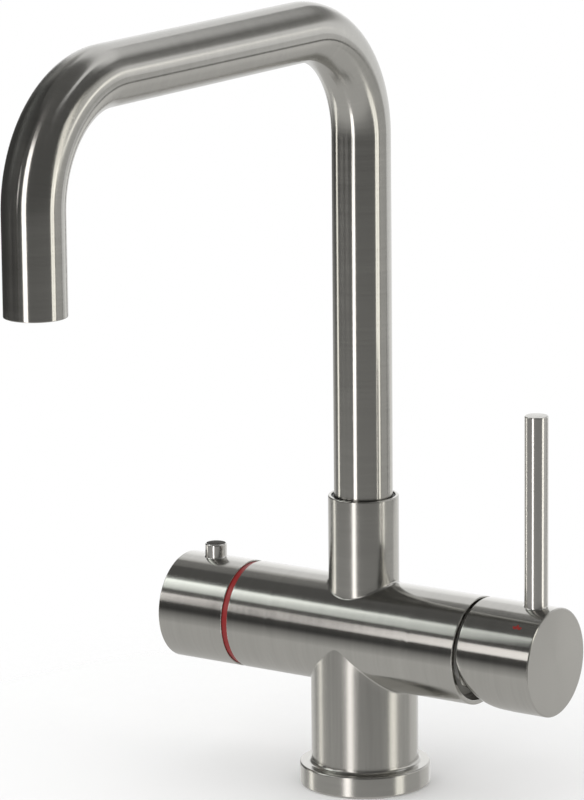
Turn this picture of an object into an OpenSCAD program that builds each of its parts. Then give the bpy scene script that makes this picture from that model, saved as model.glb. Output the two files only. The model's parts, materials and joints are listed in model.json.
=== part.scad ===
// Three-in-one boiling water tap for a kitchen sink, in brushed stainless steel.
//
// The origin is the middle of the foot's underside, on the worktop. +Z is up. The barrel lies
// along X, with the mixer handle at its +X end and the boiling knob at its -X end. The spout
// reaches out towards -Y. Every piece is drawn at rest: both valves shut, the spout to the front.

/* [Body] */
// Diameter of the horizontal barrel, the mixer handle and the boiling knob
barrel_d = 46; // [43:0.5:56]
// Height of the barrel's centre line over the worktop
axis_z = 65.8; // [62:0.1:80]
// Length of the barrel from the middle to its mixer end
barrel_right = 58; // [57:0.5:70]
// Length of the barrel from the middle to its boiling end
barrel_left = 55.5; // [54:0.5:67]
// How much slimmer the column is than the barrel, in diameter
column_step = 0.4; // [0.2:0.1:2]
// Small bevel on the turned edges of barrel, handle and knob
edge_bevel = 0.4; // [0.2:0.1:0.8]

/* [Foot] */
// How far the foot flange stands out from the column
flange_lip = 5.1; // [4:0.1:8]
// Height of the foot flange
flange_h = 9.25; // [7:0.25:14]
// Radius of the cove between flange and column
cove_r = 1.6; // [0.8:0.1:2.5]
// Rounding of the flange's outer edges
flange_round = 0.8; // [0.3:0.1:1.5]
// Thickness of the gasket under the flange
gasket_h = 1.3; // [1:0.1:2]
// Wall of the column round the foot plate
foot_wall = 3.3; // [2.5:0.1:4]
// Depth of the hollow under the foot plate
foot_hollow = 12; // [8:0.5:16]
// Thickness of the foot plate
foot_plate_h = 12; // [10:0.5:14]
// Radius of the hose thread, M10
hose_thread_r = 5; // [4:0.5:5.5]
// Radius of the fixing stud thread, M8
stud_thread_r = 4; // [3:0.5:4]
// Distance of each fixing stud from the middle, front to back
stud_y = 13; // [12.5:0.1:13.2]
// Place of the two fixing studs, left of the middle
stud_x = 6; // [5:0.5:7]

/* [Water ways] */
// Outer radius of a riser pipe
riser_r = 4; // [3:0.25:4.2]
// Wall of a riser pipe
riser_wall = 0.8; // [0.5:0.1:1.2]
// Radius of a drilled channel
channel_r = 3; // [2:0.1:3.2]
// Wall of the body round the waterway block
block_wall = 5.8; // [5:0.1:7]
// Height of the waterway block under the barrel's centre line
block_below = 19.8; // [18:0.1:21]
// Height of the waterway block's shoulder over the barrel's centre line
block_shoulder = 9.7; // [9.5:0.1:10]
// Height of the boss on the waterway block, up into the neck
block_boss = 9; // [7:0.1:10]

/* [Spout] */
// Diameter of the spout tube
tube_d = 25; // [20:0.5:30]
// Wall of the spout tube
tube_wall = 1.2; // [0.8:0.1:2]
// Height of the horizontal arm's centre line over the worktop
arm_z = 328; // [270:1:400]
// Distance from the riser to the outlet
reach = 227.4; // [180:0.2:280]
// Height of the outlet's lower end over the worktop
outlet_z = 241.8; // [200:0.2:270]
// Bend radius over the riser, to the tube's centre line
rear_bend = 48.6; // [35:0.2:60]
// Bend radius over the outlet, to the tube's centre line
front_bend = 46.4; // [35:0.2:60]
// Wall of the neck sleeve that the spout turns in
neck_wall = 2.2; // [1.8:0.1:4]
// Height of the neck sleeve's rim over the barrel's centre line
neck_h = 59.9; // [50:0.1:72]
// Half of the spout's swing, to each side
swing = 110; // [60:5:120]
// Outer radius of the boiling tube inside the spout
boil_tube_r = 4; // [3:0.25:4.5]
// Wall of the boiling tube
boil_tube_wall = 0.6; // [0.4:0.1:1]

/* [Mixer side] */
// Gap between the barrel and the mixer handle
handle_gap = 1.8; // [1.5:0.1:3]
// Length of the mixer handle
handle_len = 34.8; // [32:0.2:42]
// Diameter of the lever pin
lever_d = 10; // [8:0.5:12]
// Height of the lever's top over the barrel's centre line
lever_top = 104.1; // [60:0.1:130]
// Distance of the lever from the handle's end face
lever_inset = 9.5; // [8:0.1:11]
// Largest tilt of the handle
tilt = 25; // [15:1:25]
// Distance of the tilt axis from the barrel's end
pivot_out = 6; // [6:0.1:8]
// Radius of the rounded relief under the handle's inner edge
relief_r = 30; // [29:0.5:36]
// Distance of the relief's centre from the barrel's end
relief_out = 20.6; // [19:0.1:23]
// Wall of the barrel's open end ring
end_ring_wall = 2; // [1.6:0.1:2.4]
// Depth of the end ring, where the tilted handle dips in
end_ring_depth = 5.5; // [5:0.1:7]
// Wall of the barrel round the cartridge nut
nut_wall = 3.5; // [3:0.1:4]
// Depth of the nut's thread in the barrel
nut_depth = 8; // [7:0.1:9]
// Wall of the barrel round the cartridge
cartridge_wall = 5.4; // [5:0.1:6]
// Depth of the plain bore that the cartridge stands in
cartridge_depth = 11.5; // [11:0.1:13]
// Radius of the handle's inner hollow
handle_hollow_r = 15.5; // [15:0.1:16]
// Depth of the handle's inner hollow
handle_hollow_depth = 16.2; // [15:0.1:18]
// Side of the square stem
stem_side = 8; // [6:0.5:9]
// Radius of the rotor that carries the stem
rotor_r = 9; // [8:0.1:9.3]
// Wall of the cartridge's neck round the rotor
rotor_neck_wall = 1.9; // [1.5:0.1:2]
// Radius of the tilt pin
tilt_pin_r = 2; // [1.5:0.1:2.3]
// Radius of the stem's ball end
ball_r = 2.4; // [2:0.1:2.6]
// Side of the triangular temperature marks
mark_side = 3; // [2:0.5:5]
// Angle of the temperature marks from the top of the handle
mark_angle = 42; // [30:1:60]

/* [Boiling side] */
// Distance from the barrel's end to the knob's edge, where the red ring shows
ring_show = 2.7; // [2.4:0.1:4]
// Depth of the red ring under the barrel's surface
ring_step = 0.7; // [0.6:0.1:1.2]
// Length of the boiling knob
knob_len = 32.8; // [32:0.2:40]
// Wall of the knob
knob_wall = 3.5; // [2.5:0.1:4.5]
// Push of the knob that frees the child lock
push = 1.6; // [1:0.1:2]
// Diameter of the knob's stub pin
stub_d = 9.4; // [8:0.2:12]
// Height of the stub pin over the knob's surface
stub_h = 6.2; // [5:0.1:10]
// Distance of the stub pin from the knob's end face
stub_inset = 14.9; // [13:0.1:18]
// Outer radius of the boiling valve's thread
valve_r = 12; // [11:0.1:13]
// Depth of the valve's bore in the barrel
valve_depth = 24.5; // [23:0.5:26]
// Radius of the valve spindle
spindle_r = 4; // [3.5:0.1:4.5]
// Wire diameter of the knob's spring
spring_wire = 1.2; // [0.8:0.1:1.6]
// Number of turns of the knob's spring
spring_turns = 6; // [4:1:8]

/* [Fits] */
// Gap round a turning or sliding piece
running_gap = 0.08; // [0.05:0.01:0.1]
// Gap round a seated piece
seat_gap = 0.05; // [0.02:0.01:0.08]
// Gap between pieces that must never touch
clear_gap = 0.3; // [0.2:0.05:0.4]

/* [Hidden] */
$fn = 96;
eps = 0.01;

barrel_r = barrel_d / 2;
column_r = barrel_r - column_step / 2;
tube_r = tube_d / 2;
tube_bore = tube_r - tube_wall;

// Heights along the column.
flange_ledge = 2;
foot_bore = column_r - foot_wall;
foot_plate_z = foot_hollow;
foot_plate_top = foot_plate_z + foot_plate_h;
block_bore = column_r - block_wall;
block_z0 = axis_z - block_below;
block_z1 = axis_z + block_shoulder;
block_roof = block_z1 + clear_gap;
boss_z1 = block_z1 + block_boss;
riser_socket = 12;
circlip_h = 1.2;
circlip_z = foot_plate_z - circlip_h - 0.1;
circlip_in = foot_bore - 2;
circlip_out = foot_bore + 0.7;
gasket_in = column_r - 1.4;
gasket_out = column_r + 2.6;
column_hollow_r = foot_bore - 1;
block_hollow_z0 = block_z0 - 2;
hose_thread_top = foot_plate_top - 3.5;
riser_z0 = foot_plate_top - 3;
block_seal_z = block_z0 + 4;
boss_seal_z = boss_z1 - 3;
block_seal_wire = 1.1;
block_groove_h = 3;
block_groove_d = 2.3;
mixed_out_x = 8.5;
boil_socket_z = axis_z + 11.5;

// Heights along the neck.
neck_bore = tube_r + clear_gap;
neck_r = tube_r + clear_gap + neck_wall;
neck_top = axis_z + neck_h;
foot_z0 = boss_z1 + 3.5;
tube_z0 = neck_top - 13.7;
swivel_r = neck_bore - running_gap;
stop_z = (foot_z0 + tube_z0) / 2;
stop_screw_r = 2.5;
stop_tip_r = 2;
groove_r = swivel_r - 1.9;
seal_wire = 1.2;
seal_gap = 0.03;
seal_inset = 3;
seal_groove_d = 2.42;
seal_groove_h = 2.8;
stop_play = 0.15;
foot_spigot = 10;
foot_water_r = tube_bore - 2;
glide_h = 4;
glide_drop = 0.6;
glide_r = neck_bore + 0.8;

// Places along the mixer side.
end_ring_r = barrel_r - end_ring_wall;
nut_r = barrel_r - nut_wall;
pocket_r = barrel_r - cartridge_wall - seat_gap;
ring_floor = barrel_right - end_ring_depth;
nut_floor = ring_floor - nut_depth;
seat_x = nut_floor - cartridge_depth;
handle_x0 = barrel_right + handle_gap;
handle_x1 = handle_x0 + handle_len;
lever_x = handle_x1 - lever_inset;
lever_r = lever_d / 2;
pivot_x = barrel_right + pivot_out;
relief_x = barrel_right + relief_out;
relief_z = relief_r - barrel_r;
cartridge_r = pocket_r - seat_gap;
neck_plug_r = cartridge_r - 3.5;
chamber_r = cartridge_r - 1.9;
upper_chamber_r = neck_plug_r - 2;
base_x = seat_x + clear_gap;
base_t = 2;
disc_x = base_x + base_t;
fixed_disc_t = 4;
slide_x = disc_x + fixed_disc_t + 0.05;
moving_disc_t = 2.7;
carrier_x = slide_x + moving_disc_t;
step_x = disc_x + 7.2;
roof_x = ring_floor - 1.7;
ball_x = pivot_x - 17.5;
travel = (pivot_x - ball_x) * sin(tilt);
moving_disc_r = chamber_r - travel - 0.3;
carrier_r = upper_chamber_r - travel - 0.3;
ball_lift = travel + ball_r + 0.6;
rotor_neck_r = rotor_r + running_gap + rotor_neck_wall;
rotor_neck_x = barrel_right + 3;
rotor_seal_x = rotor_neck_x - 2.7;
rotor_flange_t = 2.4;
rotor_x0 = roof_x - 0.1 - rotor_flange_t;
rotor_x1 = pivot_x + 5;
fork_x = pivot_x - 5.5;
stem_arm_r = 2;
stem_x0 = pivot_x - 4;
hollow_end = handle_x0 + handle_hollow_depth;
stem_x1 = hollow_end + 4.5;
port_y = 8;
port_low = -4.5;
port_high = 5.5;
grub_screw_r = 2.5;
grub_x = stem_x1 - grub_screw_r + 0.5;

// Places along the boiling side, all on the -X side.
boil_out_z = 7.7;
boil_out_r = 1.7;
ring_edge = -barrel_left - ring_show;
ring_r = barrel_r - ring_step;
ring_seat_r = barrel_r - 2.9;
ring_seat_depth = 2;
ring_x0 = ring_edge - 0.4;
knob_x0 = ring_edge - knob_len;
knob_bore = barrel_r - knob_wall;
lip_depth = push + 0.6;
cap_t = 3;
cap_r = barrel_r - 3;
cap_x = knob_x0 + cap_t;
screw_head_t = 2.6;
web_x0 = cap_x + screw_head_t + push + 0.5;
web_x1 = web_x0 + 5;
hub_r = 7;
hub_x = web_x1 + 9;
stub_x = knob_x0 + stub_inset;
stub_r = stub_d / 2;
valve_floor = -barrel_left + valve_depth;
valve_bore = valve_r + 0.1;
valve_seat = -barrel_left + ring_seat_depth;
valve_head_x = valve_seat - 4;
spindle_seal_x = valve_head_x + 2;
valve_neck_r = 8;
valve_neck_x = hub_x + push + 0.5;
collar_r = ring_seat_r - 2.1;
collar_t = 3;
collar_x = valve_head_x - collar_t;
disc_bore = valve_r - 2.5;
valve_disc_t = 3;
valve_seal_t = 0.8;
valve_nose_r = 5.8;
valve_nose_t = 3;
valve_end_wall = 1.5;
spindle_flange_t = 3.5;
spindle_x0 = web_x0 - 0.1;
nose_x0 = valve_floor - valve_seal_t - valve_nose_t;
disc_seat = nose_x0 - valve_end_wall;
spindle_x1 = disc_seat - 2 * valve_disc_t - 0.1;
chamber_x0 = spindle_x1 - spindle_flange_t - 0.1;

// The places of the three riser pipes: cold, hot and boiling.
risers = [[5, -port_y], [5, port_y], [-8, 0]];

// ---------------------------------------------------------------- helpers

// A round bar along X, on the barrel's centre line.
module xbar(r, x0, x1) {
    translate([x0, 0, axis_z])
        rotate([0, 90, 0])
            cylinder(r = r, h = x1 - x0);
}

// A round bar along X with a small bevel on both ends.
module bevelled_xbar(r, x0, x1, bevel) {
    translate([x0, 0, axis_z])
        rotate([0, 90, 0])
            rotate_extrude()
                polygon([
                    [0, 0], [r - bevel, 0], [r, bevel],
                    [r, x1 - x0 - bevel], [r - bevel, x1 - x0], [0, x1 - x0]
                ]);
}

// A round bar along X through the point (y, z) of the barrel's cross-section.
module xhole(r, x0, x1, y, z) {
    translate([x0, y, axis_z + z])
        rotate([0, 90, 0])
            cylinder(r = r, h = x1 - x0);
}

// A round bar along Z.
module zbar(r, z0, z1, x = 0, y = 0) {
    translate([x, y, z0])
        cylinder(r = r, h = z1 - z0);
}

// A flat ring along Z.
module zring(r_out, r_in, z0, z1) {
    difference() {
        zbar(r_out, z0, z1);
        zbar(r_in, z0 - 1, z1 + 1);
    }
}

// A flat ring along X, on the barrel's centre line.
module xring(r_out, r_in, x0, x1) {
    difference() {
        xbar(r_out, x0, x1);
        xbar(r_in, x0 - 1, x1 + 1);
    }
}

// A rubber ring of round section, on the Z axis.
module zseal(r_out, z, wire = seal_wire) {
    translate([0, 0, z])
        rotate_extrude()
            translate([r_out - wire, 0])
                circle(r = wire, $fn = 48);
}

// A rubber ring of round section, on the barrel's centre line.
module xseal(r_out, x, wire = seal_wire) {
    translate([x, 0, axis_z])
        rotate([0, 90, 0])
            rotate_extrude()
                translate([r_out - wire, 0])
                    circle(r = wire, $fn = 48);
}

// The three water channels between the cartridge and the waterway block.
module cartridge_channels(r, x0, x1) {
    xhole(r, x0, x1, -port_y, port_low);
    xhole(r, x0, x1, port_y, port_low);
    xhole(r, x0, x1, 0, port_high);
}

// ---------------------------------------------------------------- body and foot

// Barrel, column and neck in one piece, bored for the valves, the block and the spout.
module body_shell() {
    color("#b3b0a8")
    difference() {
        union() {
            bevelled_xbar(barrel_r, -barrel_left, barrel_right, edge_bevel);
            zbar(column_r, flange_ledge, axis_z);
            zbar(neck_r, axis_z, neck_top - edge_bevel);
            translate([0, 0, neck_top - edge_bevel])
                cylinder(r1 = neck_r, r2 = neck_r - edge_bevel, h = edge_bevel);
        }
        // Mixer end: the open ring, the nut's thread and the cartridge's bore.
        xbar(end_ring_r, ring_floor, barrel_right + 1);
        xbar(nut_r, nut_floor, ring_floor + eps);
        xbar(pocket_r, seat_x, nut_floor + eps);
        cartridge_channels(channel_r, 0, seat_x + eps);
        // Boiling end: the red ring's seat, the valve's bore, its inlet and its outlet.
        xbar(ring_seat_r + seat_gap, -barrel_left - 1, valve_seat);
        xbar(valve_bore, valve_seat - eps, valve_floor);
        xhole(channel_r, valve_floor - eps, 0, 0, 0);
        xhole(boil_out_r, valve_floor - eps, 0, 0, boil_out_z);
        // Column and neck.
        zbar(foot_bore, 0, foot_plate_top);
        zbar(column_hollow_r, foot_plate_top - eps, block_hollow_z0);
        zbar(block_bore, block_hollow_z0 - eps, block_roof);
        zbar(neck_bore, block_roof - eps, neck_top + 1);
        zbar(glide_r, neck_top - glide_h - glide_drop, neck_top + 1);
        zbar(circlip_out + 0.1, circlip_z - 0.1, foot_plate_z);
        // The stop screw's thread, at the back of the neck.
        translate([0, neck_bore - 1, stop_z])
            rotate([-90, 0, 0])
                cylinder(r = stop_screw_r + seat_gap, h = neck_wall + 3);
    }
}

// The round foot with its cove, standing on the gasket.
module base_flange() {
    flange_r = column_r + flange_lip;
    bore = column_r + seat_gap;
    cove_in = bore + cove_r;
    color("#bdbab2")
    difference() {
        rotate_extrude()
            difference() {
                union() {
                    translate([foot_bore, 0])
                        square([flange_r - foot_bore - flange_round, flange_h]);
                    translate([foot_bore, flange_round])
                        square([flange_r - foot_bore, flange_h - 2 * flange_round]);
                    for (z = [flange_round, flange_h - flange_round])
                        translate([flange_r - flange_round, z])
                            circle(r = flange_round, $fn = 48);
                    translate([bore, flange_h - eps])
                        square([cove_r - 0.1, cove_r - 0.1]);
                }
                translate([cove_in, flange_h + cove_r])
                    circle(r = cove_r);
            }
        zbar(bore, flange_ledge, flange_h + 2 * cove_r);
        zring(gasket_out, gasket_in, -1, gasket_h);
    }
}

// The rubber ring that seals the foot to the worktop.
module base_gasket() {
    color("#222222")
        zring(gasket_out - seat_gap, gasket_in + seat_gap, 0, gasket_h);
}

// The brass plate in the foot that takes the hoses and the two fixing studs.
module foot_plate() {
    color("#b98f4a")
    difference() {
        zbar(foot_bore - seat_gap, foot_plate_z, foot_plate_top);
        for (p = risers) {
            zbar(hose_thread_r, foot_plate_z - 1, hose_thread_top, p[0], p[1]);
            zbar(riser_r + seat_gap, foot_plate_z, foot_plate_top + 1, p[0], p[1]);
        }
        for (side = [-1, 1])
            zbar(stud_thread_r, foot_plate_z - 1, foot_plate_top + 1, -stud_x, side * stud_y);
    }
}

// The sprung ring that keeps the foot plate in the column.
module foot_circlip() {
    color("#808488")
    translate([0, 0, circlip_z])
        rotate([0, 0, 15])
            rotate_extrude(angle = 330)
                translate([circlip_in, 0])
                    square([circlip_out - circlip_in, circlip_h]);
}

// Three pipes from the foot plate up to the waterway block.
module riser_pipes() {
    color("#c07a4a")
    for (p = risers)
        difference() {
            zbar(riser_r, riser_z0, block_z0 + riser_socket, p[0], p[1]);
            zbar(riser_r - riser_wall, riser_z0 - 1, block_z0 + riser_socket + 1, p[0], p[1]);
        }
}

// The brass block that leads cold, hot and boiling water to the valves and on to the spout.
module waterway_block() {
    color("#b98f4a")
    difference() {
        union() {
            zbar(block_bore - 0.1, block_z0, block_z1);
            zbar(neck_bore - 0.1, block_z1 - eps, boss_z1);
        }
        for (p = risers)
            zbar(riser_r + seat_gap, block_z0 - 1, block_z0 + riser_socket + 0.1, p[0], p[1]);
        // Cold and hot rise to the cartridge's two inlets.
        for (side = [-1, 1]) {
            zbar(channel_r, block_z0, axis_z + port_low, risers[0][0], side * port_y);
            xhole(channel_r, risers[0][0], block_bore, side * port_y, port_low);
        }
        // Mixed water comes back above them and leaves through the block's top.
        xhole(channel_r, mixed_out_x, block_bore, 0, port_high);
        zbar(channel_r, axis_z + port_high, boss_z1 + 1, mixed_out_x);
        // Boiling water goes out to the valve on the centre line and comes back above it.
        zbar(channel_r, block_z0, axis_z, risers[2][0]);
        xhole(channel_r, -block_bore, risers[2][0], 0, 0);
        xhole(boil_out_r, -block_bore, 0, 0, boil_out_z);
        zbar(boil_out_r, axis_z + boil_out_z, boss_z1);
        zbar(boil_tube_r + running_gap, boil_socket_z, boss_z1 + 1);
        // Grooves for the two rubber rings.
        for (seal = [[block_bore, block_seal_z], [neck_bore, boss_seal_z]])
            zring(
                seal[0] + 1, seal[0] - block_groove_d,
                seal[1] - block_groove_h / 2, seal[1] + block_groove_h / 2
            );
    }
}

// The two rubber rings round the waterway block.
module block_seal_rings() {
    color("#1c1c1c") {
        zseal(block_bore - seal_gap, block_seal_z, block_seal_wire);
        zseal(neck_bore - seal_gap, boss_seal_z, block_seal_wire);
    }
}

// The plastic ring in the neck's rim that guides the spout tube.
module neck_glide_ring() {
    color("#202020")
        zring(
            glide_r - seat_gap, tube_r + running_gap,
            neck_top - glide_h - glide_drop, neck_top - glide_drop
        );
}

// The screw in the back of the neck whose tip runs in the spout foot's groove.
module swivel_stop_screw() {
    color("#9a9a98")
    translate([0, 0, stop_z])
        rotate([-90, 0, 0])
            difference() {
                union() {
                    translate([0, 0, neck_bore])
                        cylinder(r = stop_screw_r, h = neck_wall - 0.4);
                    translate([0, 0, groove_r + 0.2])
                        cylinder(r = stop_tip_r, h = neck_bore - groove_r);
                }
                translate([0, 0, neck_bore + 0.3])
                    cylinder(r = 1.3, h = neck_wall, $fn = 6);
            }
}

// ---------------------------------------------------------------- mixer cartridge

// The cartridge's shell: base with three ports, disc chamber, shoulder and rotor neck.
module cartridge_housing() {
    color("#e6e3da")
    difference() {
        union() {
            xbar(cartridge_r, base_x, nut_floor);
            xbar(neck_plug_r, nut_floor - eps, ring_floor - 0.2);
            xbar(rotor_neck_r, ring_floor - 0.2 - eps, rotor_neck_x);
        }
        cartridge_channels(channel_r, base_x - 1, disc_x + 1);
        xbar(chamber_r, disc_x, step_x);
        xbar(upper_chamber_r, step_x - eps, roof_x);
        xbar(rotor_r + running_gap, roof_x - eps, rotor_neck_x + 1);
    }
}

// Three rubber rings between the cartridge's ports and the bore's floor.
module cartridge_seals() {
    wall = 1.2;
    color("#1c1c1c")
    for (p = [[-port_y, port_low], [port_y, port_low], [0, port_high]])
        difference() {
            xhole(channel_r + wall, seat_x, base_x, p[0], p[1]);
            xhole(channel_r, seat_x - 1, base_x + 1, p[0], p[1]);
        }
}

// The ceramic disc that stands still, with the three ports.
module fixed_disc() {
    color("#f4f1e8")
    difference() {
        xbar(chamber_r - seat_gap, disc_x, disc_x + fixed_disc_t);
        cartridge_channels(channel_r - 0.4, disc_x - 1, disc_x + fixed_disc_t + 1);
    }
}

// The threaded ring that presses the cartridge into the barrel, with four key slots.
module cartridge_nut() {
    nut_x1 = ring_floor - 1;
    color("#b98f4a")
    difference() {
        xring(nut_r - seat_gap, neck_plug_r + seat_gap, nut_floor, nut_x1);
        for (a = [0 : 90 : 270])
            translate([0, 0, axis_z])
                rotate([a, 0, 0])
                    translate([nut_x1 - 2, -2, neck_plug_r + 1])
                        cube([3, 4, 3]);
    }
}

// The thin steel ring that hides the nut inside the barrel's end.
module nut_cover() {
    color("#a8a59d")
        xring(nut_r - seat_gap, neck_plug_r + seat_gap, ring_floor - 1 + eps, ring_floor - 0.2);
}

// ---------------------------------------------------------------- mixer handle

// The rotor: it turns in the cartridge's neck and holds the stem in its fork.
module cartridge_rotor() {
    slot = stem_side + 0.4;
    color("#8fa0a8")
    difference() {
        union() {
            xbar(upper_chamber_r - 0.5, rotor_x0, rotor_x0 + rotor_flange_t);
            xbar(rotor_r, rotor_x0, rotor_x1);
        }
        // The slot for the stem's arm, which swings upwards inside.
        translate([rotor_x0 - 1, -stem_arm_r - 0.6, axis_z - stem_arm_r - 0.6])
            cube([rotor_x1, 2 * stem_arm_r + 1.2, ball_lift + stem_arm_r + 0.6]);
        // The open fork for the square stem.
        translate([fork_x, -slot / 2, axis_z - rotor_r - 1])
            cube([rotor_x1 - fork_x + 1, slot, 2 * rotor_r + 2]);
        translate([pivot_x, -rotor_r, axis_z])
            rotate([-90, 0, 0])
                cylinder(r = tilt_pin_r + 0.03, h = 2 * rotor_r);
        // The rubber ring's groove.
        xring(rotor_r + 1, rotor_r - 1.9, rotor_seal_x - 1.2, rotor_seal_x + 1.2);
    }
}

// The rubber ring round the rotor.
module rotor_seal_ring() {
    color("#1c1c1c")
        xseal(rotor_r + running_gap / 2, rotor_seal_x, 0.9);
}

// The steel pin that the stem tilts on.
module tilt_pin() {
    length = 2 * (rotor_r - 0.8);
    color("#9a9a98")
    translate([pivot_x, -length / 2, axis_z])
        rotate([-90, 0, 0])
            cylinder(r = tilt_pin_r, h = length);
}

// The ceramic disc that slides up as the handle tilts and turns with the rotor.
module moving_disc() {
    color("#dcd8cc")
    difference() {
        xbar(moving_disc_r, slide_x, slide_x + moving_disc_t);
        xbar(2.6, slide_x - 1, slide_x + 1.2);
    }
}

// The plastic carrier between the stem's ball and the moving disc.
module disc_carrier() {
    color("#d9dcd8")
    difference() {
        xbar(carrier_r, carrier_x, rotor_x0 - 0.3);
        xbar(ball_r + 0.4, ball_x - ball_r - 0.6, rotor_x0 + 1);
    }
}

// The stem: ball, arm and square end, drilled for the tilt pin.
module cartridge_stem() {
    color("#9a9a98")
    difference() {
        union() {
            translate([ball_x, 0, axis_z])
                sphere(r = ball_r, $fn = 48);
            xbar(stem_arm_r, ball_x, stem_x0 + 1);
            translate([stem_x0, -stem_side / 2, axis_z - stem_side / 2])
                cube([stem_x1 - stem_x0, stem_side, stem_side]);
        }
        translate([pivot_x, -stem_side, axis_z])
            rotate([-90, 0, 0])
                cylinder(r = tilt_pin_r + running_gap, h = 2 * stem_side);
    }
}

// The space that the handle keeps: all of it but the rounded relief under its inner edge.
module handle_envelope() {
    big = 2 * relief_r;
    intersection() {
        bevelled_xbar(barrel_r, handle_x0, handle_x1, edge_bevel);
        union() {
            translate([relief_x, 0, axis_z + relief_z])
                sphere(r = relief_r);
            translate([relief_x, -big / 2, axis_z - big / 2])
                cube([big, big, big]);
        }
    }
}

// A triangular prism that stands on the handle's surface, turned from the top by an angle.
module mark_prism(angle) {
    radius = mark_side / sqrt(3);
    translate([lever_x, 0, axis_z])
        rotate([angle, 0, 0])
            translate([0, 0, barrel_r - 3])
                rotate([0, 0, 90])
                    cylinder(r = radius, h = 6, $fn = 3);
}

// The handle: a turned cup with a hub for the stem and a socket for the lever.
module handle_shell() {
    hole = stem_side + 0.1;
    color("#b3b0a8")
    difference() {
        handle_envelope();
        xbar(handle_hollow_r, handle_x0 - 1, hollow_end);
        translate([hollow_end - 1, -hole / 2, axis_z - hole / 2])
            cube([stem_x1 - hollow_end + 1.1, hole, hole]);
        zbar(lever_r + seat_gap, axis_z + stem_side / 2 + 1, axis_z + barrel_r + 5, lever_x);
        zbar(grub_screw_r + seat_gap, axis_z - barrel_r - 1, axis_z - stem_side / 2, grub_x);
        for (angle = [mark_angle, -mark_angle])
            difference() {
                mark_prism(angle);
                xbar(barrel_r - 0.5, handle_x0, handle_x1);
            }
    }
}

// The straight round lever that the hand moves.
module lever_pin() {
    bottom = axis_z + stem_side / 2 + 1;
    top = axis_z + lever_top;
    color("#b8b5ad")
    translate([lever_x, 0, bottom])
        rotate_extrude()
            polygon([
                [0, 0], [lever_r, 0], [lever_r, top - bottom - edge_bevel],
                [lever_r - edge_bevel, top - bottom], [0, top - bottom]
            ]);
}

// The screw that clamps the handle on the stem, from below.
module handle_grub_screw() {
    z1 = axis_z - stem_side / 2 - 0.05;
    color("#77797a")
    difference() {
        zbar(grub_screw_r, z1 - 8, z1, grub_x);
        translate([grub_x, 0, z1 - 9])
            cylinder(r = 1.4, h = 4, $fn = 6);
    }
}

// The small plug that closes the grub screw's hole.
module grub_screw_plug() {
    color("#8c8c88")
        zbar(grub_screw_r, axis_z - barrel_r + 0.3, axis_z - barrel_r + 3, grub_x);
}

// One temperature mark, let into the handle's surface.
module mark(angle) {
    intersection() {
        mark_prism(angle);
        difference() {
            xbar(barrel_r, handle_x0, handle_x1);
            xbar(barrel_r - 0.5, handle_x0 - 1, handle_x1 + 1);
        }
    }
}

// The red mark towards the front.
module hot_mark() {
    color("#b3161b")
        mark(mark_angle);
}

// The blue mark towards the back.
module cold_mark() {
    color("#1f4fa8")
        mark(-mark_angle);
}

// ---------------------------------------------------------------- boiling valve

// The quarter-turn valve's brass body, screwed into the barrel.
module valve_housing() {
    color("#b98f4a")
    difference() {
        union() {
            xbar(valve_r, valve_seat - eps, chamber_x0 + 1);
            xbar(valve_r - 1.4, chamber_x0 + 1 - eps, nose_x0);
            xbar(valve_nose_r, nose_x0 - eps, valve_floor - valve_seal_t);
            translate([valve_head_x, 0, axis_z])
                rotate([0, 90, 0])
                    cylinder(r = valve_r + 3.5, h = valve_seat - valve_head_x, $fn = 6);
            xbar(valve_neck_r, valve_neck_x, valve_head_x + eps);
        }
        xbar(disc_bore, chamber_x0, disc_seat);
        xbar(channel_r, disc_seat - eps, valve_floor);
        xbar(spindle_r + running_gap, valve_neck_x - 1, chamber_x0 + eps);
        // The outlet window in the side.
        translate([spindle_x1 + valve_disc_t / 2, 0, axis_z])
            cylinder(r = 1.4, h = valve_r + 1);
    }
}

// The rubber ring under the valve's nose.
module valve_seal() {
    color("#1c1c1c")
        xring(valve_nose_r, channel_r + 0.4, valve_floor - valve_seal_t, valve_floor);
}

// The valve's fixed ceramic disc, with its port off centre.
module valve_fixed_disc() {
    color("#f4f1e8")
    difference() {
        xbar(disc_bore - seat_gap, disc_seat - valve_disc_t, disc_seat);
        xhole(1.6, disc_seat - valve_disc_t - 1, disc_seat + 1, 0, -1.4);
    }
}

// The red ring between barrel and knob, with its spigot in the barrel's end.
module red_ring() {
    bore = ring_seat_r - 1.6;
    color("#c2242b")
    difference() {
        union() {
            xbar(ring_r, ring_x0, -barrel_left);
            xbar(ring_seat_r, -barrel_left - eps, valve_seat);
        }
        xbar(bore, ring_x0 - 1, valve_seat + 1);
    }
}

// The child lock's collar, with the track that the knob's key turns in.
module lock_collar() {
    color("#9a9a98")
    difference() {
        xring(collar_r, valve_neck_r + seat_gap, collar_x, valve_head_x);
        translate([collar_x - 1, 0, axis_z])
            rotate([0, 90, 0])
                rotate([0, 0, -110])
                    rotate_extrude(angle = 220)
                        translate([collar_r - 4.6, 0])
                            square([6, 2.6]);
    }
}

// The spindle: flange, round shaft with a flat, and a thread for its screw.
module valve_spindle() {
    color("#9a9a98")
    difference() {
        union() {
            xbar(disc_bore - 0.2, spindle_x1 - spindle_flange_t, spindle_x1);
            xbar(spindle_r, spindle_x0, spindle_x1 - spindle_flange_t + eps);
        }
        translate([spindle_x0 - 1, -spindle_r, axis_z + spindle_r - 1])
            cube([valve_neck_x - spindle_x0 + 1, 2 * spindle_r, 2]);
        xbar(1.65, spindle_x0 - 1, spindle_x0 + 8);
        xring(spindle_r + 1, spindle_r - 1.1, spindle_seal_x - 0.7, spindle_seal_x + 0.7);
    }
}

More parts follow.
